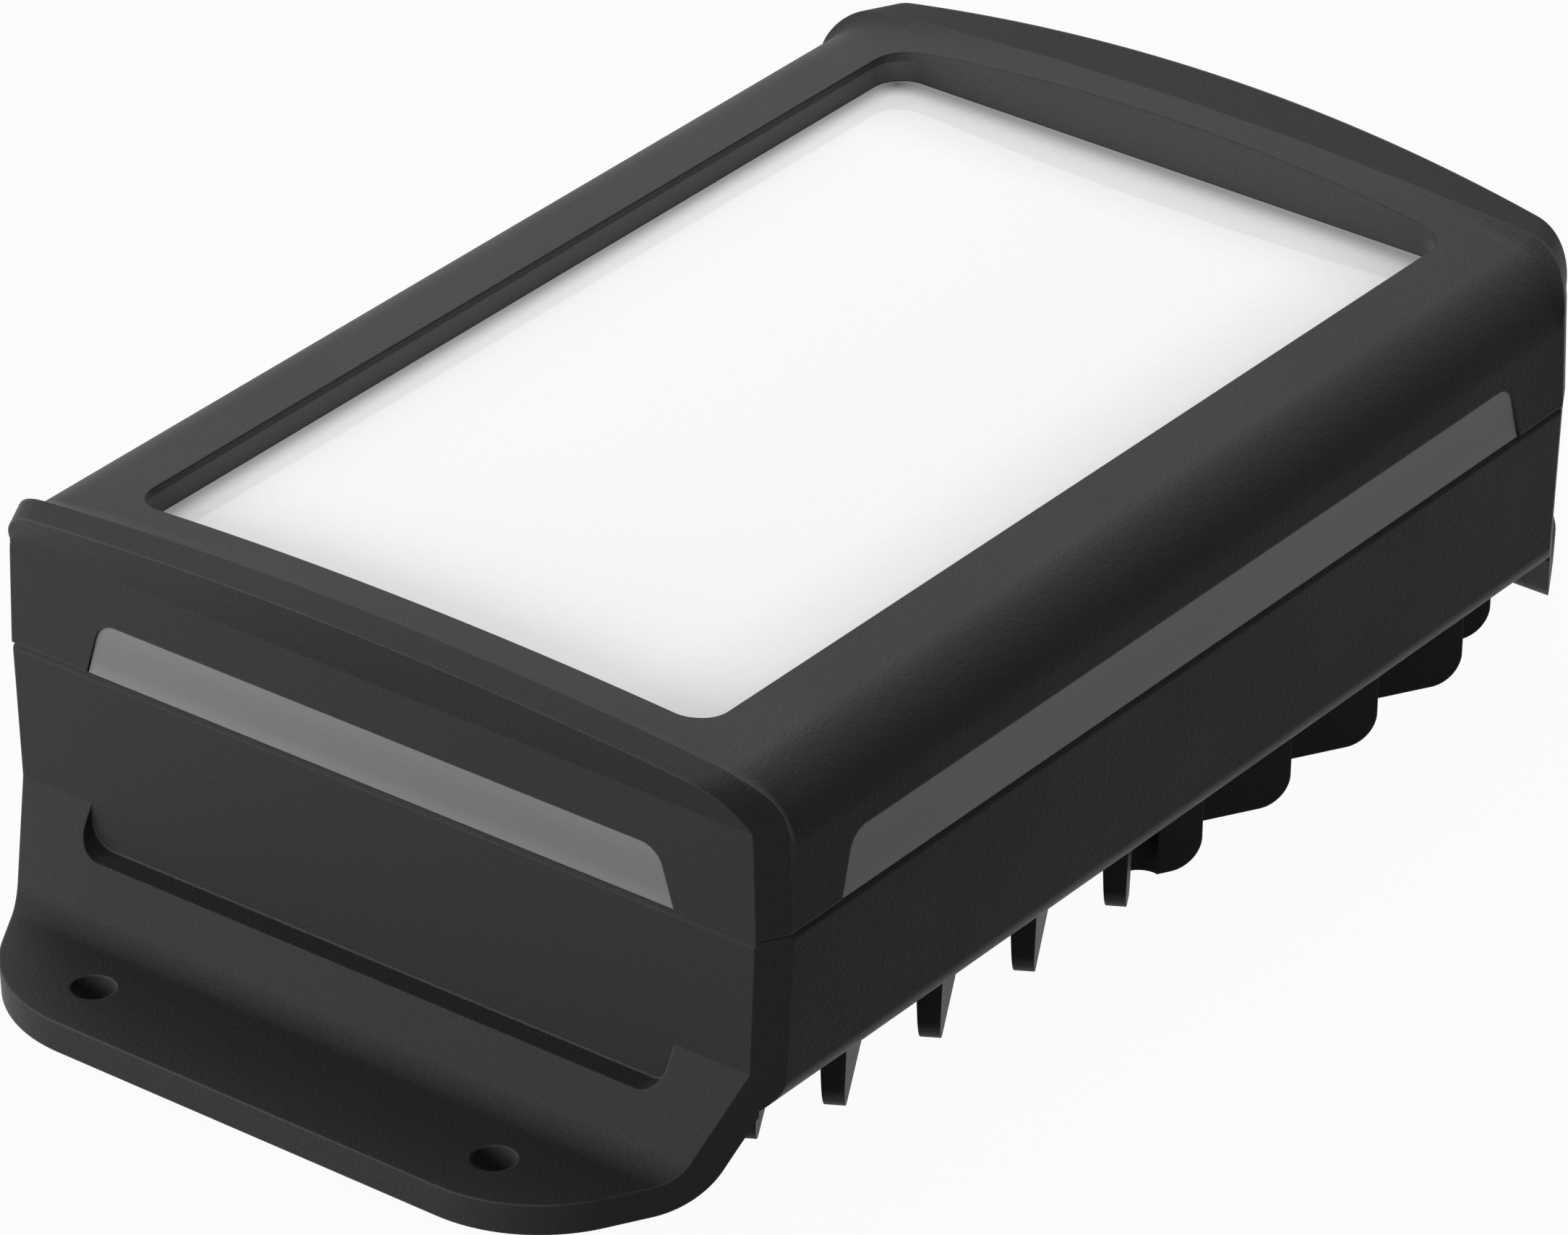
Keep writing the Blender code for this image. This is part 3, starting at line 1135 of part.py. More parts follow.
CAST = make_material("powder_coated_casting", (0.045, 0.045, 0.047), 0.55)
FROSTED = make_material("frosted_glass", (0.92, 0.93, 0.94), 0.35)
SMOKED = make_material("smoked_diffuser", (0.15, 0.15, 0.15), 0.5)
SILICONE = make_material("silicone", (0.03, 0.03, 0.03), 0.8)
STEEL = make_material("stainless_steel", (0.6, 0.6, 0.6), 0.3, 1.0)
ALUMINIUM = make_material("aluminium_sheet", (0.75, 0.75, 0.76), 0.4, 1.0)
WHITE = make_material("white_board", (0.9, 0.9, 0.9), 0.5)
THERMAL = make_material("thermal_pad", (0.5, 0.55, 0.6), 0.8)
PLASTIC = make_material("black_plastic", (0.03, 0.03, 0.03), 0.5)
BRASS = make_material("brass", (0.7, 0.5, 0.2), 0.35, 1.0)

make_housing()
make_cover()
make_light_strips()
make_lens()
make_clips()
make_rim_gasket()
make_cover_screws()
make_plate()
make_boards()
make_driver()
make_entry()
make_terminal_block()
make_vent()
make_earth()
make_leads()
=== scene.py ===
"""Outdoor wall light, dressed: finishes, a finer housing and cover, and strips that fill their openings."""

import json
import math

import bmesh
import bpy
from mathutils import Matrix, Vector


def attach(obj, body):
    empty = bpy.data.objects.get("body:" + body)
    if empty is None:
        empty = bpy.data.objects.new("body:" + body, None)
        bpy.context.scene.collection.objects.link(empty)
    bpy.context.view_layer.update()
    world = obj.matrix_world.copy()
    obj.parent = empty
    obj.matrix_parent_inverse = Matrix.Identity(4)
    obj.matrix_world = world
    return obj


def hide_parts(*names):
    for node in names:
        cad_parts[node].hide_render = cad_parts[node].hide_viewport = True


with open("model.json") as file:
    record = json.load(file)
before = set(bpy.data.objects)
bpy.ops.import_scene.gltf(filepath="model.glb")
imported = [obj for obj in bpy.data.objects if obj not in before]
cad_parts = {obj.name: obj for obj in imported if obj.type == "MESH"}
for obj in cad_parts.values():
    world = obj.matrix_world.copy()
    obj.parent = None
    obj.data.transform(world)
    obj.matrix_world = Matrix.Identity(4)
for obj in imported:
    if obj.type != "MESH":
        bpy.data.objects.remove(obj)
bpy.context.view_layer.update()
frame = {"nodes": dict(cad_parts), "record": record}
NODES = frame["nodes"]
SLOTS = {entry["node"]: entry["material_slot"] for entry in frame["record"]["subparts"]}
scene = bpy.context.scene

# Shapes too small for the solids, and the distance within which two points are one
WELD = 0.000005
FIN_EDGE_RADIUS = 0.0009
FIN_EDGE_SEGMENTS = 3
FIN_EDGE_ANGLE = math.radians(40)
COLLAR = 0.0004
COLLAR_GAP = 0.00002
STRIP_DROP = 0.0005
STRIP_FILL = 0.00025

# Sizes of the housing and the cover, as in the solids that they replace
BODY_LENGTH = 0.2121
BODY_WIDTH = 0.1496
PARTING_HEIGHT = 0.0449
CUT_ANGLE = math.radians(30)
CORNER_CUT = 0.0050
GAP = 0.0003
OVERRUN = 0.0020
HOUSING_WALL = 0.0045
HOUSING_DRAFT_ANGLE = math.radians(2.6)
FLOOR_HEIGHT = 0.0137
FLOOR_THICKNESS = 0.0040
HOUSING_EDGE_RADIUS = 0.0054
HOUSING_INNER_RADIUS = 0.0060
RIM_CHAMFER_DEPTH = 0.0006
RIM_CHAMFER_HEIGHT = 0.0008
FLARE_HEIGHT = 0.0215
FOOT_THICKNESS = 0.0053
FOOT_REACH = 0.0318
FOOT_CORNER_RADIUS = 0.0251
FOOT_FILLET = 0.0057
POCKET_SIDE_MARGIN = 0.0180
POCKET_FLOOR_HEIGHT = 0.0143
POCKET_CORNER_RADIUS = 0.0043
FOOT_HOLE_DIAMETER = 0.0070
FOOT_HOLE_INSET = 0.0110
FOOT_HOLE_SIDE_INSET = 0.03565
FIN_WALL_CLEARANCE = 0.0013
FIN_EDGE_INSET = 0.0063
FIN_END_INSET = 0.0080
FIN_PITCH = 0.0239
FIN_ROOT_THICKNESS = 0.0042
FIN_TIP_THICKNESS = 0.0031
FIN_CORNER_RADIUS = 0.0052
FIN_ANGLE = math.radians(30)
FIN_MIDDLE_OFFSET = 0.0110
ENTRY_PAD_HALF_LENGTH = 0.0330
ENTRY_PAD_HALF_WIDTH = 0.0150
COVER_WALL = 0.0030
COVER_DRAFT_ANGLE = math.radians(1.5)
COVER_HEIGHT = 0.0291
COVER_ARCH_RADIUS = 0.4856
COVER_SHOULDER_RADIUS = 0.0120
COVER_CEILING_DROP = 0.0067
LIP_HEIGHT = 0.0307
LIP_ARCH_RADIUS = 0.4500
LIP_CORNER_RADIUS = 0.0105
LIP_FLARE_START = 0.01815
LIP_FLARE_SLOPE = 0.546
LIP_BACK_HEIGHT = 0.0292
LIP_BACK_ARCH_RADIUS = 0.7500
LIP_BACK_CORNER_RADIUS = 0.0102
LIP_BACK_INSET = 0.0013
LIP_RAMP_END_INSET = 0.0055
LIP_RAMP_SIDE_INSET = 0.0070
WINDOW_END_MARGIN = 0.00965
WINDOW_SIDE_MARGIN = 0.0196
WINDOW_CORNER_RADIUS = 0.0056
WINDOW_RIM_HEIGHT = 0.0262
WINDOW_LEAN = math.tan(math.radians(30))
LENS_TOP_HEIGHT = 0.0209
LENS_THICKNESS = 0.0040
CLIP_SPACING = 0.0900
CLIP_BOSS_RADIUS = 0.0032
CLIP_EDGE_INSET = 0.0108
SIDE_WINDOW_MARGIN = 0.01755
SIDE_WINDOW_HEIGHT = 0.00985
END_WINDOW_MARGIN = 0.0183
END_WINDOW_HEIGHT = 0.0093
STRIP_END_LEAN = math.tan(math.radians(17))
STRIP_CORNER_RADIUS = 0.0042
RIM_GASKET_WIDTH = 0.0015
RIM_GASKET_HEIGHT = 0.0016
RIM_GASKET_RADIUS = 0.0080
COLUMN_RADIUS = 0.0055
COVER_COLUMN_RADIUS = 0.0046
COLUMN_EDGE_INSET = 0.0095
COLUMN_END_INSET = 0.0163
COLUMN_SEAT_DEPTH = 0.0160
COVER_SCREW_RADIUS = 0.0020
COVER_SCREW_HEAD_RADIUS = 0.0035
COVER_SCREW_GRIP = 0.0120
PLATE_END_CLEARANCE = 0.01005
PLATE_THICKNESS = 0.0020
PLATE_TOP_DROP = 0.0040
PLATE_POST_RADIUS = 0.0040
PLATE_POST_END_INSET = 0.0220
PLATE_POST_EDGE_INSET = 0.0220
BOARD_END_INSET = 0.0180
SMALL_SCREW_RADIUS = 0.0015
SMALL_SCREW_GRIP = 0.0060
DRIVER_END_INSET = 0.0130
DRIVER_POST_GAP = 0.0028
DRIVER_ENTRY_GAP = 0.0015
DRIVER_TAB_LENGTH = 0.0100
DRIVER_BOSS_HEIGHT = 0.0030
DRIVER_BOSS_RADIUS = 0.0040
ENTRY_X = -0.0150
ENTRY_HOLE_RADIUS = 0.0080
GROMMET_FLANGE_RADIUS = 0.0105
VENT_X = 0.0160
VENT_STEM_RADIUS = 0.0050
EARTH_X = 0.0450
EARTH_Y = 0.0200
EARTH_BOSS_RADIUS = 0.0045
EARTH_BOSS_HEIGHT = 0.0040
HALF_LENGTH = BODY_LENGTH / 2
HALF_WIDTH = BODY_WIDTH / 2
INNER_FLOOR = FLOOR_HEIGHT + FLOOR_THICKNESS
FOOT_END = HALF_LENGTH + FOOT_REACH
CAVITY_HALF_LENGTH = HALF_LENGTH - HOUSING_WALL
CAVITY_HALF_WIDTH = HALF_WIDTH - HOUSING_WALL
RIM_HEIGHT = PARTING_HEIGHT - GAP
LENS_TOP = PARTING_HEIGHT + LENS_TOP_HEIGHT
LENS_BOTTOM = LENS_TOP - LENS_THICKNESS
CEILING = PARTING_HEIGHT + COVER_HEIGHT - COVER_CEILING_DROP
WINDOW_HALF_LENGTH = HALF_LENGTH - WINDOW_END_MARGIN
WINDOW_HALF_WIDTH = HALF_WIDTH - WINDOW_SIDE_MARGIN
COLUMN_Y = HALF_WIDTH - COLUMN_EDGE_INSET
CLIP_XS = (-CLIP_SPACING / 2, CLIP_SPACING / 2)
CLIP_Y = HALF_WIDTH - CLIP_EDGE_INSET
COLUMN_XS = (-HALF_LENGTH + COLUMN_END_INSET, 0, HALF_LENGTH - COLUMN_END_INSET)
COLUMN_SEAT = FLOOR_HEIGHT + COLUMN_SEAT_DEPTH
PLATE_TOP = PARTING_HEIGHT - PLATE_TOP_DROP
PLATE_BOTTOM = PLATE_TOP - PLATE_THICKNESS
POST_Y = HALF_WIDTH - PLATE_POST_EDGE_INSET
POST_XS = (-HALF_LENGTH + PLATE_POST_END_INSET, 0, HALF_LENGTH - PLATE_POST_END_INSET)
PLATE_HALF_LENGTH = HALF_LENGTH - PLATE_END_CLEARANCE
BOARD_LENGTH = 2 * (PLATE_HALF_LENGTH - BOARD_END_INSET)
DRIVER_LENGTH = BOARD_LENGTH - 2 * DRIVER_END_INSET
DRIVER_OUTER_Y = POST_Y - PLATE_POST_RADIUS - DRIVER_POST_GAP
DRIVER_INNER_Y = GROMMET_FLANGE_RADIUS + DRIVER_ENTRY_GAP
DRIVER_CENTRE_Y = -(DRIVER_OUTER_Y + DRIVER_INNER_Y) / 2
DRIVER_BOSS_X = (DRIVER_LENGTH + DRIVER_TAB_LENGTH) / 2
DRIVER_BOSS_TOP = INNER_FLOOR + DRIVER_BOSS_HEIGHT
EARTH_BOSS_TOP = INNER_FLOOR + EARTH_BOSS_HEIGHT
FIN_TIP = FIN_WALL_CLEARANCE
FIN_EDGE_Y = HALF_WIDTH - FIN_EDGE_INSET

# Grain of the finishes: its size, detail and roughness
COAT_PEEL = (0.00075, 2.0, 0.55)
COAT_FINE = (0.00022, 1.0, 0.5)
COAT_BROAD = (0.035, 2.0, 0.5)
GLASS_CLOUD = (0.0016, 3.0, 0.6)
GLASS_FROST = (0.0007, 2.0, 0.6)
STRIP_SPECKLE = (0.0005, 2.0, 0.6)
STRIP_FROST = (0.0004, 2.0, 0.5)
PLAIN_GRAIN = (0.0006, 3.0, 0.55)
BRUSHED_LINES = (0.0004, 3.0, 0.6)

# Relief of the finishes: its depth and strength
COAT_RELIEF = (0.00016, 0.90)
GLASS_RELIEF = (0.00004, 0.30)
STRIP_RELIEF = (0.00002, 0.35)
PLAIN_RELIEF = (0.00002, 0.30)
BRUSHED_RELIEF = (0.00002, 0.20)

# Soft edges of the finishes: their radius, and the samples taken
COAT_ROUNDING = (0.0006, 6)
PLAIN_ROUNDING = (0.0002, 4)

# The coat: its tones, first in general and then where light and shade are painted into it
COAT_TONES = (0.0370, 0.0500)
COAT_SPECK_TINT = (1.0, 1.0, 1.01)
# Painted bounce light that pales the window's wall, as if lit from the glass
WALL_PAINTED_LIGHT_TONES = (0.1140, 0.1540)
# Painted highlight on the long sides' round lower edge
LOWER_EDGE_HIGHLIGHT_TONE = 0.210
# Painted highlight along the edges, and painted shade along the window's edges instead
EDGE_HIGHLIGHT_TONE = 0.120
WINDOW_EDGE_SHADE_TONE = 0.026
EDGE_HIGHLIGHT_SHARE = 0.8
PEEL_SHARE = 0.7
FINE_SHARE = 0.3
COAT_ROUGHNESS = (0.46, 0.52)
COAT_SPECULAR = 0.05
LIP_SPECULAR = COAT_SPECULAR / 4
# The painted shade band's height on the long sides, the window mask's reach, and the painted light's share
# above the band and at the ends
WALL_SHADE_BAND_HEIGHT = 0.0246
WALL_REACH = 0.0030
WALL_TOP_LIGHT_SHARE = 0.22
WALL_END_LIGHT_SHARE = 0.29

# Where the coat's masks turn: over a distance, by how far up a face looks, and in the noises
MASK_EDGE = 0.0001
LIP_TOP_RISE = (0.55, 0.80)
WALL_RISE = (0.55, 0.75)
LOWER_EDGE_RISE = (-0.40, -0.03)
EDGE_TURN = (0.80, 0.99)
SPECK_RANGE = (0.35, 0.75)
GRAIN_RANGE = (0.3, 0.7)

# The glass: its painted edge shade as a width and a starting factor, at -X, +X, -Y and +Y
GLASS_TONE = 0.95
GLASS_EDGE_SHADES = ((0.030, 0.74), (0.022, 0.64), (0.026, 0.66), (0.010, 0.82))
GLASS_STEEP_SHARE = 0.35
GLASS_CLOUD_AMOUNT = 0.06
GLASS_ROUGHNESS = 0.42
GLASS_SPECULAR = 0.20
# Painted light: a glow along the glass's edges, though it is no lamp, which lightens the shade by the wall
GLASS_EDGE_GLOW = 0.20
GLASS_EDGE_GLOW_WIDTH = 0.0028
GLASS_SHINE = 0.80
GLASS_SHINE_ROUGHNESS = 0.03

# The strips: two tones, and how the paler one's share changes with the height
STRIP_TONES = (0.150, 0.215)
STRIP_FOOT = 0.0030
STRIP_FOOT_SHARE = 0.45
STRIP_HEAD = (0.0050, 0.0098)
STRIP_HEAD_SHARE = 0.40
STRIP_SPECKLE_AMOUNT = 0.5
STRIP_ROUGHNESS = 0.42
STRIP_SPECULAR = 0.35

# Plain and brushed finishes: how far colour and roughness stray
PLAIN_VARIATION = 0.08
PLAIN_SPREAD = (0.9, 1.1)
BRUSHED_DARK = 0.88
BRUSHED_SPREAD = (0.8, 1.25)

# The stage. A lamp is given as its name, place, target, size and radiance
WHITE = (1.0, 1.0, 1.0, 1.0)
SKY_LEVEL = 0.064
FLOOR_BOUNCE = 0.25
FLOOR_WHITE_SHARE = 0.96
FLOOR_HALF_SIZE = 6.0
FLOOR_DROP = 0.0002
LAMPS = (
    ("behind", (0.62, 0.48, 1.35), (0, 0, 0), (0.9, 0.9), 8.3),
    ("left_near", (-0.40, 0.32, 0.14), (0, 0, 0.04), (0.30, 0.20), 4.9),
    ("left_far", (-1.20, 0.10, 0.42), (0, 0, 0.03), (0.6, 0.5), 6.6),
)

# The photo's camera, in the photo's pixels. Its place is counted from the middle of the parting plane
PHOTO_WIDTH = 2169
PHOTO_MIDDLE = (1084.5, 854.0)
OPTICAL_CENTRE = (1090.0, 873.0)
FOCAL_LENGTH = 14010.6
CAMERA_PLACE = (-9703.5, -7420.6, 6863.1)
PIXEL = 0.0001132
CAMERA_AZIMUTH = math.radians(-52.48)
CAMERA_ELEVATION = math.radians(30.0)
SENSOR_WIDTH = 36.0
CLIPPING = (0.05, 50.0)


# Materials
def plug(tree, node, **inputs):
    """Sets a node's inputs to values or links them to other sockets; i0 is the first input."""
    for key, value in inputs.items():
        numbered = key[0] == "i" and key[1:].isdigit()
        socket = node.inputs[int(key[1:]) if numbered else key.replace("_", " ")]
        if isinstance(value, bpy.types.NodeSocket):
            tree.links.new(value, socket)
        else:
            socket.default_value = value


def add_node(tree, kind, settings=None, **inputs):
    made = tree.nodes.new(kind)
    for key, value in (settings or {}).items():
        setattr(made, key, value)
    plug(tree, made, **inputs)
    return made


def math_node(tree, operation, *values, clamp=False):
    made = add_node(tree, "ShaderNodeMath", {"operation": operation, "use_clamp": clamp})
    plug(tree, made, **{f"i{index}": value for index, value in enumerate(values)})
    return made.outputs[0]


def product(tree, first, *others):
    for other in others:
        first = math_node(tree, "MULTIPLY", first, other)
    return first


def ramp(tree, value, low, high, a, b, kind="SMOOTHSTEP"):
    """Goes from a to b while the value goes from low to high."""
    smooth = {"interpolation_type": kind}
    made = add_node(tree, "ShaderNodeMapRange", smooth, Value=value, i1=low, i2=high, i3=a, i4=b)
    return made.outputs[0]


def past(tree, value, edge):
    """1 where a value is past an edge."""
    return ramp(tree, value, edge, edge + MASK_EDGE, 0.0, 1.0)


def within(tree, value, edge):
    """1 where a value is short of an edge."""
    return ramp(tree, value, edge, edge + MASK_EDGE, 1.0, 0.0)


def split(tree, vector):
    return add_node(tree, "ShaderNodeSeparateXYZ", Vector=vector).outputs


def surface_normal(tree):
    return tree.nodes.new("ShaderNodeNewGeometry").outputs["Normal"]


def grey(value, tint=(1.0, 1.0, 1.0)):
    return (value * tint[0], value * tint[1], value * tint[2], 1.0)


def scaled(colour, factor):
    """A colour made darker or paler by a factor."""
    return tuple(min(1.0, channel * factor) for channel in colour) + (1.0,)


def blend_colour(tree, share, first, second):
    return add_node(tree, "ShaderNodeMix", {"data_type": "RGBA"}, i0=share, i6=first, i7=second).outputs[2]


def material(name):
    """A new material, with its tree, its shader and the point's place in the object."""
    made = bpy.data.materials.new(name)
    made.use_nodes = True
    tree = made.node_tree
    shader = tree.nodes["Principled BSDF"]
    place = tree.nodes.new("ShaderNodeTexCoord").outputs["Object"]
    return made, tree, shader, place


def noise(tree, place, grain):
    size, detail, rough = grain
    settings = {"Scale": 1.0 / size, "Detail": detail, "Roughness": rough}
    return add_node(tree, "ShaderNodeTexNoise", Vector=place, **settings).outputs["Fac"]


def speckle(tree, place, grain, amount):
    """Noise about zero that spans an amount."""
    return product(tree, math_node(tree, "SUBTRACT", noise(tree, place, grain), 0.5), amount)


def rounded_normal(tree, rounding):
    """The surface's normal, as if its edges were round."""
    radius, samples = rounding
    return add_node(tree, "ShaderNodeBevel", {"samples": samples}, Radius=radius).outputs["Normal"]


def bump(tree, height, relief, normal=None):
    depth, strength = relief
    made = add_node(tree, "ShaderNodeBump", Height=height, Distance=depth, Strength=strength)
    if normal:
        plug(tree, made, Normal=normal)
    return made.outputs["Normal"]


def place_and_rise(tree, place):
    """Distances from the two middle planes, the height, and how far the surface faces up."""
    x, y, z = split(tree, place)
    rise = split(tree, surface_normal(tree))[2]
    return math_node(tree, "ABSOLUTE", x), math_node(tree, "ABSOLUTE", y), z, rise


def lip_band(tree, place):
    """1 on the flat band on top of each lip, where the coat is duller."""
    along, _, height, rise = place_and_rise(tree, place)
    edge = HALF_LENGTH - LIP_BACK_INSET
    out = ramp(tree, along, edge - MASK_EDGE, edge + MASK_EDGE, 0.0, 1.0)
    high = past(tree, height, PARTING_HEIGHT + LIP_FLARE_START)
    return product(tree, out, high, ramp(tree, rise, *LIP_TOP_RISE, 0.0, 1.0))


def painted_wall_light(tree, place):
    """A mask of the window's opening, and how far painted bounce light pales its wall.

    The painted light is strongest on the long sides, weaker at the ends, and weakest along the long sides'
    top, a painted shade band.
    """
    along, across, height, rise = place_and_rise(tree, place)
    inside = product(
        tree,
        within(tree, along, WINDOW_HALF_LENGTH + WALL_REACH),
        within(tree, across, WINDOW_HALF_WIDTH + WALL_REACH),
    )
    top = PARTING_HEIGHT + WALL_SHADE_BAND_HEIGHT
    beside = ramp(tree, across, WINDOW_HALF_WIDTH - WINDOW_CORNER_RADIUS, WINDOW_HALF_WIDTH, 0.0, 1.0)
    lower = ramp(tree, height, top - MASK_EDGE, top + MASK_EDGE, 1.0, WALL_TOP_LIGHT_SHARE)
    long_side = product(tree, beside, lower)
    end = product(tree, math_node(tree, "SUBTRACT", 1.0, beside), WALL_END_LIGHT_SHARE)
    share = math_node(tree, "ADD", long_side, end)
    return inside, product(tree, inside, share, ramp(tree, rise, *WALL_RISE, 1.0, 0.0))


def painted_lower_edge_highlight(tree, place):
    """1 on the round lower edge of the long sides, where a painted highlight stands in for light caught
    from the ground.
    """
    _, across, height, rise = place_and_rise(tree, place)
    side = past(tree, across, HALF_WIDTH - 2 * HOUSING_EDGE_RADIUS)
    start = FLOOR_HEIGHT + HOUSING_EDGE_RADIUS
    low = ramp(tree, height, start, FLOOR_HEIGHT + 2 * HOUSING_EDGE_RADIUS, 1.0, 0.0)
    return product(tree, side, low, ramp(tree, rise, *LOWER_EDGE_RISE, 1.0, 0.0))


def edge_share(tree, soft):
    """1 along the edges, where the rounded normal turns away from the surface's own."""
    dot = {"operation": "DOT_PRODUCT"}
    turned = add_node(tree, "ShaderNodeVectorMath", dot, i0=soft, i1=surface_normal(tree)).outputs["Value"]
    return ramp(tree, turned, *EDGE_TURN, 1.0, 0.0)


def powder_coat():
    made, tree, shader, place = material("powder_coated_casting")
    peel = product(tree, noise(tree, place, COAT_PEEL), PEEL_SHARE)
    fine = noise(tree, place, COAT_FINE)
    height = math_node(tree, "ADD", peel, product(tree, fine, FINE_SHARE))
    soft = rounded_normal(tree, COAT_ROUNDING)
    speck = ramp(tree, fine, *SPECK_RANGE, 0.0, 1.0)
    colour = blend_colour(tree, speck, grey(COAT_TONES[0]), grey(COAT_TONES[1], COAT_SPECK_TINT))
    # Painted bounce light that pales the window's wall
    inside, wall_light_share = painted_wall_light(tree, place)
    colour = blend_colour(tree, wall_light_share, colour, blend_colour(tree, speck, *map(grey, WALL_PAINTED_LIGHT_TONES)))
    # Painted highlight on the round lower edge
    colour = blend_colour(tree, painted_lower_edge_highlight(tree, place), colour, grey(LOWER_EDGE_HIGHLIGHT_TONE))
    # Painted highlight along the edges, painted shade along the window's edges
    edge_highlight_share = product(tree, edge_share(tree, soft), EDGE_HIGHLIGHT_SHARE)
    edge = blend_colour(tree, inside, grey(EDGE_HIGHLIGHT_TONE), grey(WINDOW_EDGE_SHADE_TONE))
    sheen = ramp(tree, lip_band(tree, place), 0.0, 1.0, COAT_SPECULAR, LIP_SPECULAR, "LINEAR")
    plug(
        tree, shader,
        Base_Color=blend_colour(tree, edge_highlight_share, colour, edge),
        Roughness=ramp(tree, noise(tree, place, COAT_BROAD), *GRAIN_RANGE, *COAT_ROUGHNESS),
        Specular_IOR_Level=sheen,
        Normal=bump(tree, height, COAT_RELIEF, soft),
    )
    return made


def painted_edge_shade(tree, distance, width, start):
    """A painted shade factor that climbs from start at the window's edge to 1 at a width, the first part
    steeper.
    """
    near = ramp(tree, distance, 0.0, width * GLASS_STEEP_SHARE, start ** 0.5, 1.0)
    return product(tree, near, ramp(tree, distance, 0.0, width, start ** 0.5, 1.0))


def frosted_glass():
    """White glass with painted shade towards all four edges, a faint painted glow at the edge and a clear
    reflection.
    """
    made, tree, shader, place = material("frosted_glass")
    x, y, _ = split(tree, place)
    distances = (
        math_node(tree, "ADD", x, WINDOW_HALF_LENGTH),
        math_node(tree, "SUBTRACT", WINDOW_HALF_LENGTH, x),
        math_node(tree, "ADD", y, WINDOW_HALF_WIDTH),
        math_node(tree, "SUBTRACT", WINDOW_HALF_WIDTH, y),
    )
    factor, nearest = 1.0, 1.0
    # Painted shade towards each of the four edges
    for distance, (width, start) in zip(distances, GLASS_EDGE_SHADES):
        factor = product(tree, painted_edge_shade(tree, distance, width, start), factor)
        nearest = math_node(tree, "MINIMUM", distance, nearest)
    cloud = speckle(tree, place, GLASS_CLOUD, GLASS_CLOUD_AMOUNT)
    share = math_node(tree, "ADD", factor, cloud, clamp=True)
    plug(
        tree, shader,
        Base_Color=blend_colour(tree, share, grey(0.0), grey(GLASS_TONE)),
        Roughness=GLASS_ROUGHNESS,
        Specular_IOR_Level=GLASS_SPECULAR,
        Normal=bump(tree, noise(tree, place, GLASS_FROST), GLASS_RELIEF),
        # Painted light: the glass glows near its edges
        Emission_Strength=ramp(tree, nearest, 0.0, GLASS_EDGE_GLOW_WIDTH, GLASS_EDGE_GLOW, 0.0, "LINEAR"),
        Emission_Color=WHITE,
        Coat_Weight=GLASS_SHINE,
        Coat_Roughness=GLASS_SHINE_ROUGHNESS,
    )
    return made


def smoked_diffuser():
    """Tinted plastic, paler at its foot and, less so, at its head."""
    made, tree, shader, place = material("smoked_diffuser")
    height = split(tree, place)[2]
    low = ramp(tree, height, PARTING_HEIGHT, PARTING_HEIGHT + STRIP_FOOT, 1.0, STRIP_FOOT_SHARE)
    start, end = (PARTING_HEIGHT + level for level in STRIP_HEAD)
    both = math_node(tree, "ADD", low, ramp(tree, height, start, end, 0.0, STRIP_HEAD_SHARE))
    specks = speckle(tree, place, STRIP_SPECKLE, STRIP_SPECKLE_AMOUNT)
    share = math_node(tree, "ADD", both, specks, clamp=True)
    plug(
        tree, shader,
        Base_Color=blend_colour(tree, share, *map(grey, STRIP_TONES)),
        Roughness=STRIP_ROUGHNESS,
        Specular_IOR_Level=STRIP_SPECULAR,
        Normal=bump(tree, noise(tree, place, STRIP_FROST), STRIP_RELIEF),
    )
    return made


def simple(name, colour, roughness, variation=PLAIN_VARIATION):
    """A plain finish with a slight grain in its colour, roughness and surface."""
    made, tree, shader, place = material(name)
    pattern = noise(tree, place, PLAIN_GRAIN)
    dark, light = scaled(colour, 1 - variation), scaled(colour, 1 + variation)
    rough, rougher = (roughness * factor for factor in PLAIN_SPREAD)
    plug(
        tree, shader,
        Base_Color=blend_colour(tree, pattern, dark, light),
        Roughness=ramp(tree, pattern, *GRAIN_RANGE, rough, rougher),
        Normal=bump(tree, pattern, PLAIN_RELIEF, rounded_normal(tree, PLAIN_ROUNDING)),
    )
    return made


def brushed(name, colour, roughness, stretch):
    """Metal with fine lines along one axis."""
    made, tree, shader, place = material(name)
    mapped = add_node(tree, "ShaderNodeMapping", Vector=place, Scale=stretch).outputs[0]
    lines = noise(tree, mapped, BRUSHED_LINES)
    rough, rougher = (roughness * factor for factor in BRUSHED_SPREAD)
    plug(
        tree, shader,
        Base_Color=blend_colour(tree, lines, scaled(colour, BRUSHED_DARK), scaled(colour, 1.0)),
        Roughness=ramp(tree, lines, *GRAIN_RANGE, rough, rougher),
        Normal=bump(tree, lines, BRUSHED_RELIEF, rounded_normal(tree, PLAIN_ROUNDING)),
        Metallic=1.0,
    )
    return made


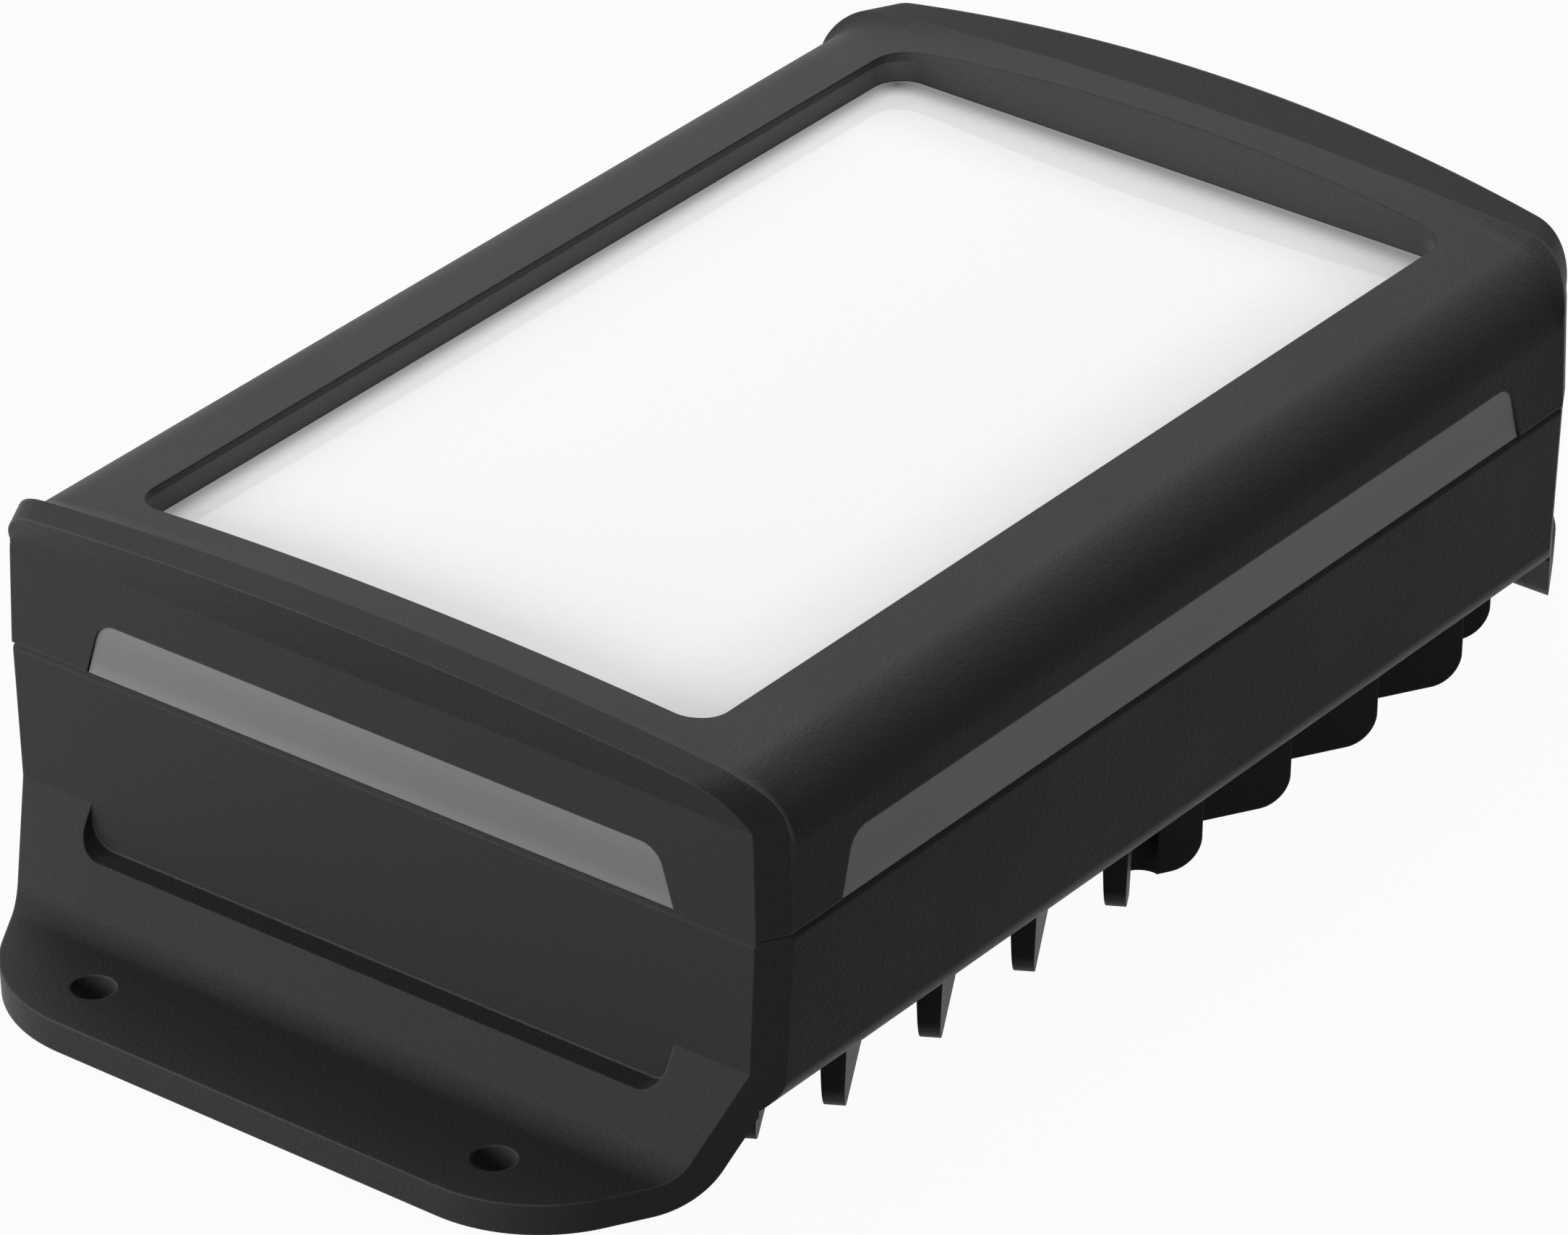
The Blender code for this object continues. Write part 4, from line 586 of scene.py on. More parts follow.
FINISH = {
    "powder_coated_casting": powder_coat(),
    "frosted_glass": frosted_glass(),
    "smoked_diffuser": smoked_diffuser(),
    "silicone": simple("silicone", (0.030, 0.030, 0.031), 0.75),
    "stainless_steel": brushed("stainless_steel", (0.62, 0.61, 0.59), 0.28, (1.0, 1.0, 0.15)),
    "aluminium_sheet": brushed("aluminium_sheet", (0.78, 0.78, 0.79), 0.38, (0.05, 1.0, 1.0)),
    "white_board": simple("white_board", (0.86, 0.87, 0.86), 0.45, variation=0.03),
    "thermal_pad": simple("thermal_pad", (0.42, 0.47, 0.52), 0.8),
    "black_plastic": simple("black_plastic", (0.028, 0.028, 0.030), 0.5),
    "brass": brushed("brass", (0.72, 0.52, 0.24), 0.32, (1.0, 0.3, 1.0)),
}


# Stage, lamps and camera
def background_share(tree):
    """1 for the rays that see the white background: camera, glossy and transmission rays."""
    rays = tree.nodes.new("ShaderNodeLightPath")
    seen = math_node(tree, "MAXIMUM", rays.outputs["Is Camera Ray"], rays.outputs["Is Transmission Ray"])
    return math_node(tree, "MAXIMUM", seen, rays.outputs["Is Glossy Ray"])


def white_floor():
    """A floor that bounces a little light and looks white to the camera."""
    floor = bpy.data.materials.new("floor")
    floor.use_nodes = True
    tree = floor.node_tree
    tree.nodes.clear()
    diffuse = add_node(tree, "ShaderNodeBsdfDiffuse", Color=grey(FLOOR_BOUNCE))
    glow = add_node(tree, "ShaderNodeEmission", Color=WHITE, Strength=1.0)
    share = product(tree, background_share(tree), FLOOR_WHITE_SHARE)
    mixed = add_node(tree, "ShaderNodeMixShader", i0=share, i1=diffuse.outputs[0], i2=glow.outputs[0])
    add_node(tree, "ShaderNodeOutputMaterial", Surface=mixed.outputs[0])
    return floor


def stage():
    """The floor, and a dim sky that looks white to the camera."""
    shape = bmesh.new()
    bmesh.ops.create_grid(shape, x_segments=1, y_segments=1, size=FLOOR_HALF_SIZE)
    mesh = bpy.data.meshes.new("floor")
    shape.to_mesh(mesh)
    shape.free()
    mesh.materials.append(white_floor())
    ground = bpy.data.objects.new("floor", mesh)
    ground.location.z = -FLOOR_DROP
    scene.collection.objects.link(ground)

    world = bpy.data.worlds.new("studio")
    world.use_nodes = True
    scene.world = world
    tree = world.node_tree
    tree.nodes.clear()
    soft = add_node(tree, "ShaderNodeBackground", Color=WHITE, Strength=SKY_LEVEL)
    white = add_node(tree, "ShaderNodeBackground", Color=WHITE, Strength=1.0)
    share = background_share(tree)
    mixed = add_node(tree, "ShaderNodeMixShader", i0=share, i1=soft.outputs[0], i2=white.outputs[0])
    add_node(tree, "ShaderNodeOutputWorld", Surface=mixed.outputs[0])


def lamp(name, place, target, size, radiance):
    data = bpy.data.lights.new(name, "AREA")
    data.shape = "RECTANGLE"
    data.size, data.size_y = size
    data.energy = radiance * math.pi * size[0] * size[1]
    made = bpy.data.objects.new(name, data)
    made.location = place
    made.rotation_mode = "QUATERNION"
    made.rotation_quaternion = (Vector(target) - Vector(place)).to_track_quat("-Z", "Y")
    scene.collection.objects.link(made)


def camera():
    """The camera that was fitted to the object's edges in the photo."""
    data = bpy.data.cameras.new("camera")
    data.sensor_fit = "HORIZONTAL"
    data.sensor_width = SENSOR_WIDTH
    data.lens = FOCAL_LENGTH / PHOTO_WIDTH * SENSOR_WIDTH
    data.shift_x = (PHOTO_MIDDLE[0] - OPTICAL_CENTRE[0]) / PHOTO_WIDTH
    data.shift_y = (OPTICAL_CENTRE[1] - PHOTO_MIDDLE[1]) / PHOTO_WIDTH
    data.clip_start, data.clip_end = CLIPPING
    made = bpy.data.objects.new("camera", data)
    x, y, z = (PIXEL * distance for distance in CAMERA_PLACE)
    made.location = (x, y, z + PARTING_HEIGHT)
    level = math.cos(CAMERA_ELEVATION)
    back = Vector(
        (math.sin(CAMERA_AZIMUTH) * level, -math.cos(CAMERA_AZIMUTH) * level, math.sin(CAMERA_ELEVATION))
    )
    made.rotation_mode = "QUATERNION"
    made.rotation_quaternion = (-back).to_track_quat("-Z", "Y")
    scene.collection.objects.link(made)
    scene.camera = made


scene.view_settings.view_transform = "Standard"
stage()
for row in LAMPS:
    lamp(*row)
camera()


# Facet counts, finer than the solids', and the angles up to which faces are smoothed
CORNER_STEPS = 24
ARCH_STEPS = 30
RAMP_STEPS = 12
ROUND_STEPS = 48
SMALL_STEPS = 32
NEARLY_ROUND = 0.999  # a full round would leave a side of no length
HOUSING_SMOOTH_ANGLE = math.radians(13)
COVER_SMOOTH_ANGLE = math.radians(5)

ALONG_X = Matrix(((0, 0, 1, 0), (1, 0, 0, 0), (0, 1, 0, 0), (0, 0, 0, 1)))
ALONG_Y = Matrix(((1, 0, 0, 0), (0, 0, -1, 0), (0, 1, 0, 0), (0, 0, 0, 1)))
MIRROR_X = Matrix.Scale(-1, 4, (1, 0, 0))
SIDE_HALF = HALF_LENGTH - SIDE_WINDOW_MARGIN
END_HALF = HALF_WIDTH - END_WINDOW_MARGIN
STRIPS = (
    ("side_window_front", SIDE_HALF, SIDE_WINDOW_HEIGHT, HALF_WIDTH, ALONG_Y, 1),
    ("side_window_rear", SIDE_HALF, SIDE_WINDOW_HEIGHT, HALF_WIDTH, ALONG_Y, -1),
    ("end_window_left", END_HALF, END_WINDOW_HEIGHT, HALF_LENGTH, ALONG_X, -1),
    ("end_window_right", END_HALF, END_WINDOW_HEIGHT, HALF_LENGTH, ALONG_X, 1),
)


def link(name, mesh):
    made = bpy.data.objects.new(name, mesh)
    scene.collection.objects.link(made)
    return made


def softened(made):
    """Breaks a fin's edges by about 0.01 mm: its short facets hold the bevel far under its width."""
    rounding = made.modifiers.new("soft_edges", "BEVEL")
    rounding.width = FIN_EDGE_RADIUS
    rounding.segments = FIN_EDGE_SEGMENTS
    rounding.limit_method = "ANGLE"
    rounding.angle_limit = FIN_EDGE_ANGLE
    bpy.context.view_layer.update()
    return bake(made)


def dress(made, name, angle):
    """Smooths a piece up to an angle, gives it its node's finish and puts it in the node's place."""
    made.data.materials.clear()
    made.data.materials.append(FINISH[SLOTS[name]])
    made.data.shade_smooth()
    made.data.set_sharp_from_angle(angle=angle)
    weighted = made.modifiers.new("flat_faces_first", "WEIGHTED_NORMAL")
    weighted.keep_sharp = True
    bpy.context.view_layer.update()
    evaluated = made.evaluated_get(bpy.context.evaluated_depsgraph_get())
    made.data = bpy.data.meshes.new_from_object(evaluated)
    made.modifiers.clear()
    made.name = f"{name}_dressed"
    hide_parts(name)
    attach(made, "root")


def tidy_mesh(mesh):
    """Welds loose caps and points all faces outwards."""
    cleaner = bmesh.new()
    cleaner.from_mesh(mesh)
    bmesh.ops.remove_doubles(cleaner, verts=cleaner.verts, dist=WELD)
    bmesh.ops.recalc_face_normals(cleaner, faces=cleaner.faces)
    cleaner.to_mesh(mesh)
    cleaner.free()


def bake(made):
    """Replaces an object's data with its evaluated mesh, in world space."""
    evaluated = made.evaluated_get(bpy.context.evaluated_depsgraph_get())
    mesh = bpy.data.meshes.new_from_object(evaluated)
    mesh.transform(made.matrix_world)
    name = made.name
    bpy.data.objects.remove(made, do_unlink=True)
    tidy_mesh(mesh)
    return link(name, mesh)


def prism(name, outlines, low, high, turn=None):
    """A flat outline, with any holes after it, filled and given a thickness along Z, then turned."""
    curve = bpy.data.curves.new(name, "CURVE")
    curve.dimensions = "2D"
    curve.fill_mode = "BOTH"
    curve.extrude = (high - low) / 2
    for outline in outlines:
        spline = curve.splines.new("POLY")
        spline.points.add(len(outline) - 1)
        for point, (x, y) in zip(spline.points, outline):
            point.co = (x, y, 0, 1)
        spline.use_cyclic_u = True
    made = link(name, curve)
    made.matrix_world = (turn or Matrix()) @ Matrix.Translation((0, 0, (low + high) / 2))
    bpy.context.view_layer.update()
    return bake(made)


def cylinder(name, radius, low, high, centre, steps=ROUND_STEPS):
    """A round solid that stands along Z between two heights."""
    shape = bmesh.new()
    sizes = {"segments": steps, "radius1": radius, "radius2": radius, "depth": high - low}
    bmesh.ops.create_cone(shape, cap_ends=True, **sizes)
    bmesh.ops.translate(shape, verts=shape.verts, vec=(*centre, (low + high) / 2))
    mesh = bpy.data.meshes.new(name)
    shape.to_mesh(mesh)
    shape.free()
    return link(name, mesh)


def boolean(target, tools, operation):
    """Cuts or joins each tool in turn, and removes it."""
    for tool in tools:
        change = target.modifiers.new(operation, "BOOLEAN")
        change.operation = operation
        change.solver = "EXACT"
        change.object = tool
        bpy.context.view_layer.update()
        target = bake(target)
        bpy.data.objects.remove(tool, do_unlink=True)
    return target


def cut(target, *tools):
    return boolean(target, tools, "DIFFERENCE")


def join(target, *tools):
    return boolean(target, tools, "UNION")


def merge(name, pieces):
    """Puts separate solids into one object."""
    shape = bmesh.new()
    for piece in pieces:
        shape.from_mesh(piece.data)
    mesh = bpy.data.meshes.new(name)
    shape.to_mesh(mesh)
    shape.free()
    for piece in pieces:
        bpy.data.objects.remove(piece, do_unlink=True)
    return link(name, mesh)


def arc(centre, radius, start, end, steps):
    """Points on an arc, in degrees from +X."""
    turns = [math.radians(start + (end - start) * i / steps) for i in range(steps + 1)]
    return [(centre[0] + radius * math.cos(t), centre[1] + radius * math.sin(t)) for t in turns]


def rounded_rectangle(half_x, half_y, radius):
    outline = []
    for quarter, (side_x, side_y) in enumerate(((1, 1), (-1, 1), (-1, -1), (1, -1))):
        corner = (side_x * (half_x - radius), side_y * (half_y - radius))
        outline += arc(corner, radius, 90 * quarter, 90 * quarter + 90, CORNER_STEPS)
    return outline


def rounded(outline, radii):
    """Rounds each corner of a polygon to its own radius, and leaves a corner of radius zero sharp."""
    result = []
    count = len(outline)
    for i, (x, y) in enumerate(outline):
        if not radii[i]:
            result.append((x, y))
            continue
        (px, py), (nx, ny) = outline[i - 1], outline[(i + 1) % count]
        before = math.atan2(py - y, px - x)
        after = math.atan2(ny - y, nx - x)
        half = ((after - before + math.pi) % (2 * math.pi) - math.pi) / 2
        reach = radii[i] / abs(math.tan(half))
        centre_reach = radii[i] / abs(math.sin(half))
        middle = before + half
        cx, cy = x + centre_reach * math.cos(middle), y + centre_reach * math.sin(middle)
        start = math.atan2(y + reach * math.sin(before) - cy, x + reach * math.cos(before) - cx)
        end = math.atan2(y + reach * math.sin(after) - cy, x + reach * math.cos(after) - cx)
        sweep = (end - start + math.pi) % (2 * math.pi) - math.pi
        for step in range(CORNER_STEPS + 1):
            turn = start + sweep * step / CORNER_STEPS
            result.append((cx + radii[i] * math.cos(turn), cy + radii[i] * math.sin(turn)))
    return result


def mirrored(made, name):
    """A copy of an object at the other end."""
    mesh = made.data.copy()
    mesh.transform(MIRROR_X)
    mesh.flip_normals()
    return link(name, mesh)


def four_quarters(made):
    """Keeps the quarter at -X and -Y and mirrors it into the other three."""
    mirror = made.modifiers.new("quarters", "MIRROR")
    mirror.use_axis = (True, True, False)
    mirror.use_bisect_axis = (True, True, False)
    mirror.use_bisect_flip_axis = (True, True, False)
    mirror.bisect_threshold = WELD
    mirror.merge_threshold = WELD
    bpy.context.view_layer.update()
    return bake(made)


def plan_outline():
    """The outline of body and feet from above."""
    slope = math.tan(CUT_ANGLE)
    corner_x = FOOT_END - FOOT_CORNER_RADIUS
    shoulder = (HALF_LENGTH - CORNER_CUT - OVERRUN / slope, HALF_WIDTH + OVERRUN)
    corner_y = shoulder[1] - (corner_x - shoulder[0]) * slope - FOOT_CORNER_RADIUS / math.cos(CUT_ANGLE)
    turned_by = 90 - math.degrees(CUT_ANGLE)
    quarter = arc((corner_x, corner_y), FOOT_CORNER_RADIUS, 0, turned_by, CORNER_STEPS + 2) + [shoulder]
    half = quarter + [(-x, y) for x, y in reversed(quarter)]
    return half + [(x, -y) for x, y in reversed(half)]


def tub_section():
    """The housing's outer section as (y, z), with a chamfered rim and rounded lower edges."""
    depth = RIM_HEIGHT - FLOOR_HEIGHT
    lower_half = HALF_WIDTH - depth * math.tan(HOUSING_DRAFT_ANGLE)
    rim_side = RIM_HEIGHT - RIM_CHAMFER_HEIGHT
    outline = [
        (HALF_WIDTH - RIM_CHAMFER_DEPTH, RIM_HEIGHT),
        (-HALF_WIDTH + RIM_CHAMFER_DEPTH, RIM_HEIGHT),
        (-HALF_WIDTH, rim_side),
        (-lower_half, FLOOR_HEIGHT),
        (lower_half, FLOOR_HEIGHT),
        (HALF_WIDTH, rim_side),
    ]
    return rounded(outline, (0, 0, 0, HOUSING_EDGE_RADIUS, HOUSING_EDGE_RADIUS, 0))


def end_section():
    """The flare under the end wall, and the foot, as (x, z)."""
    slope = math.tan(CUT_ANGLE)
    flare_run = (FLARE_HEIGHT - FOOT_THICKNESS) * slope
    under_start = HALF_LENGTH + (FLARE_HEIGHT * slope) - FOOT_THICKNESS / math.cos(CUT_ANGLE)
    under_top = under_start - FLOOR_HEIGHT * slope
    outline = [
        (HALF_LENGTH, FLARE_HEIGHT),
        (under_top, FLARE_HEIGHT),
        (under_top, FLOOR_HEIGHT),
        (under_start, 0),
        (FOOT_END + OVERRUN, 0),
        (FOOT_END + OVERRUN, FOOT_THICKNESS),
        (HALF_LENGTH + flare_run, FOOT_THICKNESS),
    ]
    outer_fillet = FOOT_FILLET + FOOT_THICKNESS
    return rounded(outline, (0, 0, 0, outer_fillet, 0, 0, FOOT_FILLET))


def long_section():
    """The housing from the side as (x, z), oversize in height, with its end walls' chamfered rims."""
    side = [
        (HALF_LENGTH, FLOOR_HEIGHT - OVERRUN),
        (HALF_LENGTH, RIM_HEIGHT - RIM_CHAMFER_HEIGHT),
        (HALF_LENGTH - 2 * RIM_CHAMFER_DEPTH, RIM_HEIGHT + RIM_CHAMFER_HEIGHT),
    ]
    return side + [(-x, z) for x, z in reversed(side)]


def corner_chamfer():
    """The cutter of the rim's chamfer along the angled corner at -X and -Y."""
    low = RIM_HEIGHT - RIM_CHAMFER_HEIGHT
    outline = [
        (RIM_CHAMFER_DEPTH, low - RIM_CHAMFER_HEIGHT),
        (RIM_CHAMFER_DEPTH, RIM_HEIGHT + RIM_CHAMFER_HEIGHT),
        (-2 * RIM_CHAMFER_DEPTH, RIM_HEIGHT + RIM_CHAMFER_HEIGHT),
    ]
    made = prism("chamfer", [outline], -2 * CORNER_CUT, 2 * CORNER_CUT, turn=ALONG_Y)
    middle = (-HALF_LENGTH + CORNER_CUT / 2, -HALF_WIDTH + CORNER_CUT * math.tan(CUT_ANGLE) / 2, 0)
    turn = Matrix.Rotation(math.pi * 3 / 2 - CUT_ANGLE, 4, "Z")
    made.data.transform(Matrix.Translation(middle) @ turn)
    return made


def one_fin(start_x, start_y, length):
    """A tapered plate that hangs from the floor and runs inwards at the fins' angle."""
    root = FLOOR_HEIGHT + FLOOR_THICKNESS / 2
    outline = [(0, root), (0, FIN_TIP), (length, FIN_TIP), (length, root)]
    outline = rounded(outline, (0, FIN_CORNER_RADIUS, 0, 0))
    half = FIN_ROOT_THICKNESS / 2
    made = prism("fin", [outline], -half, half, turn=ALONG_Y)
    taper = (1 - FIN_TIP_THICKNESS / FIN_ROOT_THICKNESS) / (FLOOR_HEIGHT - FIN_TIP)
    for vertex in made.data.vertices:
        vertex.co.y *= 1 - taper * max(0, FLOOR_HEIGHT - vertex.co.z)
    made.data.transform(Matrix.Translation((start_x, start_y, 0)) @ Matrix.Rotation(FIN_ANGLE, 4, "Z"))
    return softened(made)


def fin_quadrant():
    """The parallel fins of the quarter at -X and -Y, from the edge in to the two middle planes."""
    end_x = -HALF_LENGTH + FIN_END_INSET
    fins = []
    outer_x = -FIN_MIDDLE_OFFSET
    while True:
        start_x, start_y = outer_x, -FIN_EDGE_Y
        if start_x < end_x:
            start_y += (end_x - start_x) * math.tan(FIN_ANGLE)
            start_x = end_x
        if start_y > -FIN_ROOT_THICKNESS:
            break
        to_middle = min(-start_x / math.cos(FIN_ANGLE), -start_y / math.sin(FIN_ANGLE))
        fins.append(one_fin(start_x, start_y, to_middle + OVERRUN))
        outer_x -= FIN_PITCH
    return merge("fins", fins)


def entry_pad():
    """The clear patch in the middle of the fins, round the cable entry and the vent."""
    radius = ENTRY_PAD_HALF_WIDTH * NEARLY_ROUND
    outline = rounded_rectangle(ENTRY_PAD_HALF_LENGTH, ENTRY_PAD_HALF_WIDTH, radius)
    return prism("pad_cutter", [outline], FIN_TIP - OVERRUN, INNER_FLOOR)


def housing_shell():
    """Tub, end walls and feet, trimmed to the plan outline, which leans in downwards, and hollowed."""
    half_x = HALF_LENGTH + OVERRUN
    half_y = HALF_WIDTH + OVERRUN
    shell = prism("housing", [tub_section()], -half_x, half_x, turn=ALONG_X)
    ends = prism("ends", [long_section()], -half_y, half_y, turn=ALONG_Y)
    shell = boolean(shell, [ends], "INTERSECT")
    end = prism("end", [end_section()], -HALF_WIDTH, HALF_WIDTH, turn=ALONG_Y)
    shell = join(shell, mirrored(end, "other_end"), end)
    plan = prism("plan", [plan_outline()], -OVERRUN, PARTING_HEIGHT + OVERRUN)
    for vertex in plan.data.vertices:
        lean = (PARTING_HEIGHT - vertex.co.z) * math.tan(HOUSING_DRAFT_ANGLE)
        vertex.co.y -= math.copysign(lean, vertex.co.y)
    shell = cut(boolean(shell, [plan], "INTERSECT"), corner_chamfer())
    cavity = rounded_rectangle(CAVITY_HALF_LENGTH, CAVITY_HALF_WIDTH, HOUSING_INNER_RADIUS)
    return cut(shell, prism("cavity", [cavity], INNER_FLOOR, PARTING_HEIGHT + OVERRUN))


def pocket_cutter():
    """The recess in the flare: flush with the end wall, level below, round at its lower corners."""
    top = FLARE_HEIGHT + OVERRUN
    half = HALF_WIDTH - POCKET_SIDE_MARGIN
    outline = [(-half, top), (-half, POCKET_FLOOR_HEIGHT), (half, POCKET_FLOOR_HEIGHT), (half, top)]
    outline = rounded(outline, (0, POCKET_CORNER_RADIUS, POCKET_CORNER_RADIUS, 0))
    return prism("pocket", [outline], HALF_LENGTH, FOOT_END, turn=ALONG_X)


def housing_posts():
    """Columns for the cover's screws, and posts and bosses for what is fixed inside."""
    posts = []
    floor = INNER_FLOOR - FLOOR_THICKNESS / 2
    for side in (-1, 1):
        for x in COLUMN_XS:
            posts.append(cylinder("column", COLUMN_RADIUS, floor, RIM_HEIGHT - GAP, (x, side * COLUMN_Y)))
        for x in POST_XS:
            posts.append(cylinder("post", PLATE_POST_RADIUS, floor, PLATE_BOTTOM - GAP, (x, side * POST_Y)))
        boss_at = (side * DRIVER_BOSS_X, DRIVER_CENTRE_Y)
        posts.append(cylinder("boss", DRIVER_BOSS_RADIUS, floor, DRIVER_BOSS_TOP, boss_at))
    posts.append(cylinder("earth_boss", EARTH_BOSS_RADIUS, floor, EARTH_BOSS_TOP, (EARTH_X, EARTH_Y)))
    return posts


def small_hole(name, radius, low, high, centre):
    """A hole for a screw of a radius, with its clearance."""
    return cylinder(name, radius + GAP, low, high, centre, SMALL_STEPS)


def blind_hole(top, depth, centre):
    """A small screw's hole, down from the top of its post or boss."""
    return small_hole("hole", SMALL_SCREW_RADIUS, top - depth, top + OVERRUN, centre)


def housing_holes():
    """Cutters of the screws' bores and seats, the feet's holes, the cable entry and the vent's hole."""
    boss_depth = DRIVER_BOSS_HEIGHT + FLOOR_THICKNESS / 2
    holes = []
    for side in (-1, 1):
        for x in COLUMN_XS:
            centre = (x, side * COLUMN_Y)
            holes.append(small_hole("bore", COVER_SCREW_RADIUS, 0, PARTING_HEIGHT + OVERRUN, centre))
            holes.append(small_hole("seat", COVER_SCREW_HEAD_RADIUS, 0, COLUMN_SEAT, centre))
        for x in POST_XS:
            holes.append(blind_hole(PLATE_BOTTOM, SMALL_SCREW_GRIP + GAP, (x, side * POST_Y)))
        holes.append(blind_hole(DRIVER_BOSS_TOP, boss_depth, (side * DRIVER_BOSS_X, DRIVER_CENTRE_Y)))
        for foot_side in (-1, 1):
            hole_at = (foot_side * (FOOT_END - FOOT_HOLE_INSET), side * (HALF_WIDTH - FOOT_HOLE_SIDE_INSET))
            top = FOOT_THICKNESS + OVERRUN
            holes.append(cylinder("foot_hole", FOOT_HOLE_DIAMETER / 2, -OVERRUN, top, hole_at))
    holes.append(blind_hole(EARTH_BOSS_TOP, SMALL_SCREW_GRIP - GAP, (EARTH_X, EARTH_Y)))
    holes.append(cylinder("entry", ENTRY_HOLE_RADIUS, 0, INNER_FLOOR + OVERRUN, (ENTRY_X, 0)))
    holes.append(cylinder("vent", VENT_STEM_RADIUS + GAP, 0, INNER_FLOOR + OVERRUN, (VENT_X, 0)))
    return holes


def rim_groove():
    """The cutter of the groove for the rim's gasket."""
    half_x = HALF_LENGTH - HOUSING_WALL / 2
    half_y = HALF_WIDTH - HOUSING_WALL / 2
    wide = RIM_GASKET_WIDTH / 2 + GAP
    outer = rounded_rectangle(half_x + wide, half_y + wide, RIM_GASKET_RADIUS + wide)
    inner = rounded_rectangle(half_x - wide, half_y - wide, RIM_GASKET_RADIUS - wide)
    return prism("groove", [outer, inner], RIM_HEIGHT - RIM_GASKET_HEIGHT - GAP, PARTING_HEIGHT + OVERRUN)


def make_housing():
    housing = housing_shell()
    fins = cut(fin_quadrant(), entry_pad())
    housing = four_quarters(join(housing, fins))
    pocket = pocket_cutter()
    housing = cut(housing, mirrored(pocket, "other_pocket"), pocket)
    housing = join(housing, *housing_posts())
    housing = cut(housing, *housing_holes())
    housing = cut(housing, rim_groove())
    dress(housing, "housing", HOUSING_SMOOTH_ANGLE)


def domed_outline(half_width, apex, corner_radius, arch_radius):
    """Half of a domed section as (y, z, share of the corner turned), from the foot up to the middle."""
    centre_z = apex - arch_radius
    side = half_width - apex * math.tan(COVER_DRAFT_ANGLE) / 2
    corner_z = centre_z + math.sqrt((arch_radius - corner_radius) ** 2 - (side - corner_radius) ** 2)
    meet = math.atan2(corner_z - centre_z, side - corner_radius)
    points = [(half_width, 0, 0)]
    for i in range(CORNER_STEPS + 1):
        turn = meet * i / CORNER_STEPS
        y = side - corner_radius + corner_radius * math.cos(turn)
        points.append((y, corner_z + corner_radius * math.sin(turn), i / CORNER_STEPS))
    for i in range(1, ARCH_STEPS + 1):
        turn = meet + (math.pi / 2 - meet) * i / ARCH_STEPS
        points.append((arch_radius * math.cos(turn), centre_z + arch_radius * math.sin(turn), 1))
    return points


def front_reach(z):
    """How far the lip's front edge leans out past the end wall at a height over the parting line."""
    return HALF_LENGTH + LIP_FLARE_SLOPE * max(0, z - LIP_FLARE_START)


def cover_rings():
    """Rings of the end at +X, from the lip's front edge over its band to the start of the plain dome."""
    slope_y = CORNER_CUT * math.tan(CUT_ANGLE)
    front = domed_outline(HALF_WIDTH - slope_y, LIP_HEIGHT, LIP_CORNER_RADIUS, LIP_ARCH_RADIUS)
    back = domed_outline(HALF_WIDTH, LIP_BACK_HEIGHT, LIP_BACK_CORNER_RADIUS, LIP_BACK_ARCH_RADIUS)
    dome = domed_outline(HALF_WIDTH, COVER_HEIGHT, COVER_SHOULDER_RADIUS, COVER_ARCH_RADIUS)
    back_ring, dome_ring = [], []
    for (y, z, share), (dome_y, dome_z, _) in zip(back, dome):
        lift = math.sin(share * math.pi / 2) ** 2
        back_ring.append((HALF_LENGTH - CORNER_CUT + (CORNER_CUT - LIP_BACK_INSET) * lift, y, z))
        inset = LIP_RAMP_SIDE_INSET + (LIP_RAMP_END_INSET - LIP_RAMP_SIDE_INSET) * lift
        dome_ring.append((HALF_LENGTH - inset, dome_y, dome_z))
    rings = [[(front_reach(z), y, z) for y, z, _ in front], back_ring]
    for step in range(1, RAMP_STEPS):
        along = step / RAMP_STEPS
        drop = math.sin(along * math.pi / 2)
        ring = []
        for back_point, dome_point in zip(back_ring, dome_ring):
            x = back_point[0] + (dome_point[0] - back_point[0]) * along
            ring.append((x, *(a + (b - a) * drop for a, b in zip(back_point[1:], dome_point[1:]))))
        rings.append(ring)
    rings.append(dome_ring)
    return rings


def cover_skin():
    """The closed outer solid of the cover."""
    end = cover_rings()
    rings = [[(-x, y, z) for x, y, z in ring] for ring in end] + list(reversed(end))
    shape = bmesh.new()
    rows = []
    for ring in rings:
        left = [(x, -y, z) for x, y, z in ring]
        right = [(x, y, z) for x, y, z in reversed(ring[:-1])]
        rows.append([shape.verts.new((x, y, z + PARTING_HEIGHT)) for x, y, z in left + right])
    for row, following in zip(rows, rows[1:]):
        for i in range(len(row) - 1):
            shape.faces.new((row[i], row[i + 1], following[i + 1], following[i]))
    shape.faces.new([row[0] for row in rows] + [row[-1] for row in reversed(rows)])
    crease = PARTING_HEIGHT + LIP_FLARE_START
    for row, side in ((rows[0], -1), (rows[-1], 1)):
        wall = []
        flare = []
        for vertex in row:
            if vertex.co.z <= crease + WELD:
                wall.append(vertex)
            else:
                low = shape.verts.new((side * HALF_LENGTH, vertex.co.y, crease))
                wall.append(low)
                flare.append((vertex, low))
        shape.faces.new(wall)
        for (top, low), (next_top, next_low) in zip(flare, flare[1:]):
            shape.faces.new((top, low, next_low, next_top))
        first = wall.index(flare[0][1])
        last = wall.index(flare[-1][1])
        shape.faces.new((wall[first - 1], flare[0][1], flare[0][0]))
        shape.faces.new((flare[-1][0], flare[-1][1], wall[last + 1]))
    bmesh.ops.recalc_face_normals(shape, faces=shape.faces)
    mesh = bpy.data.meshes.new("cover")
    shape.to_mesh(mesh)
    shape.free()
    return link("cover", mesh)


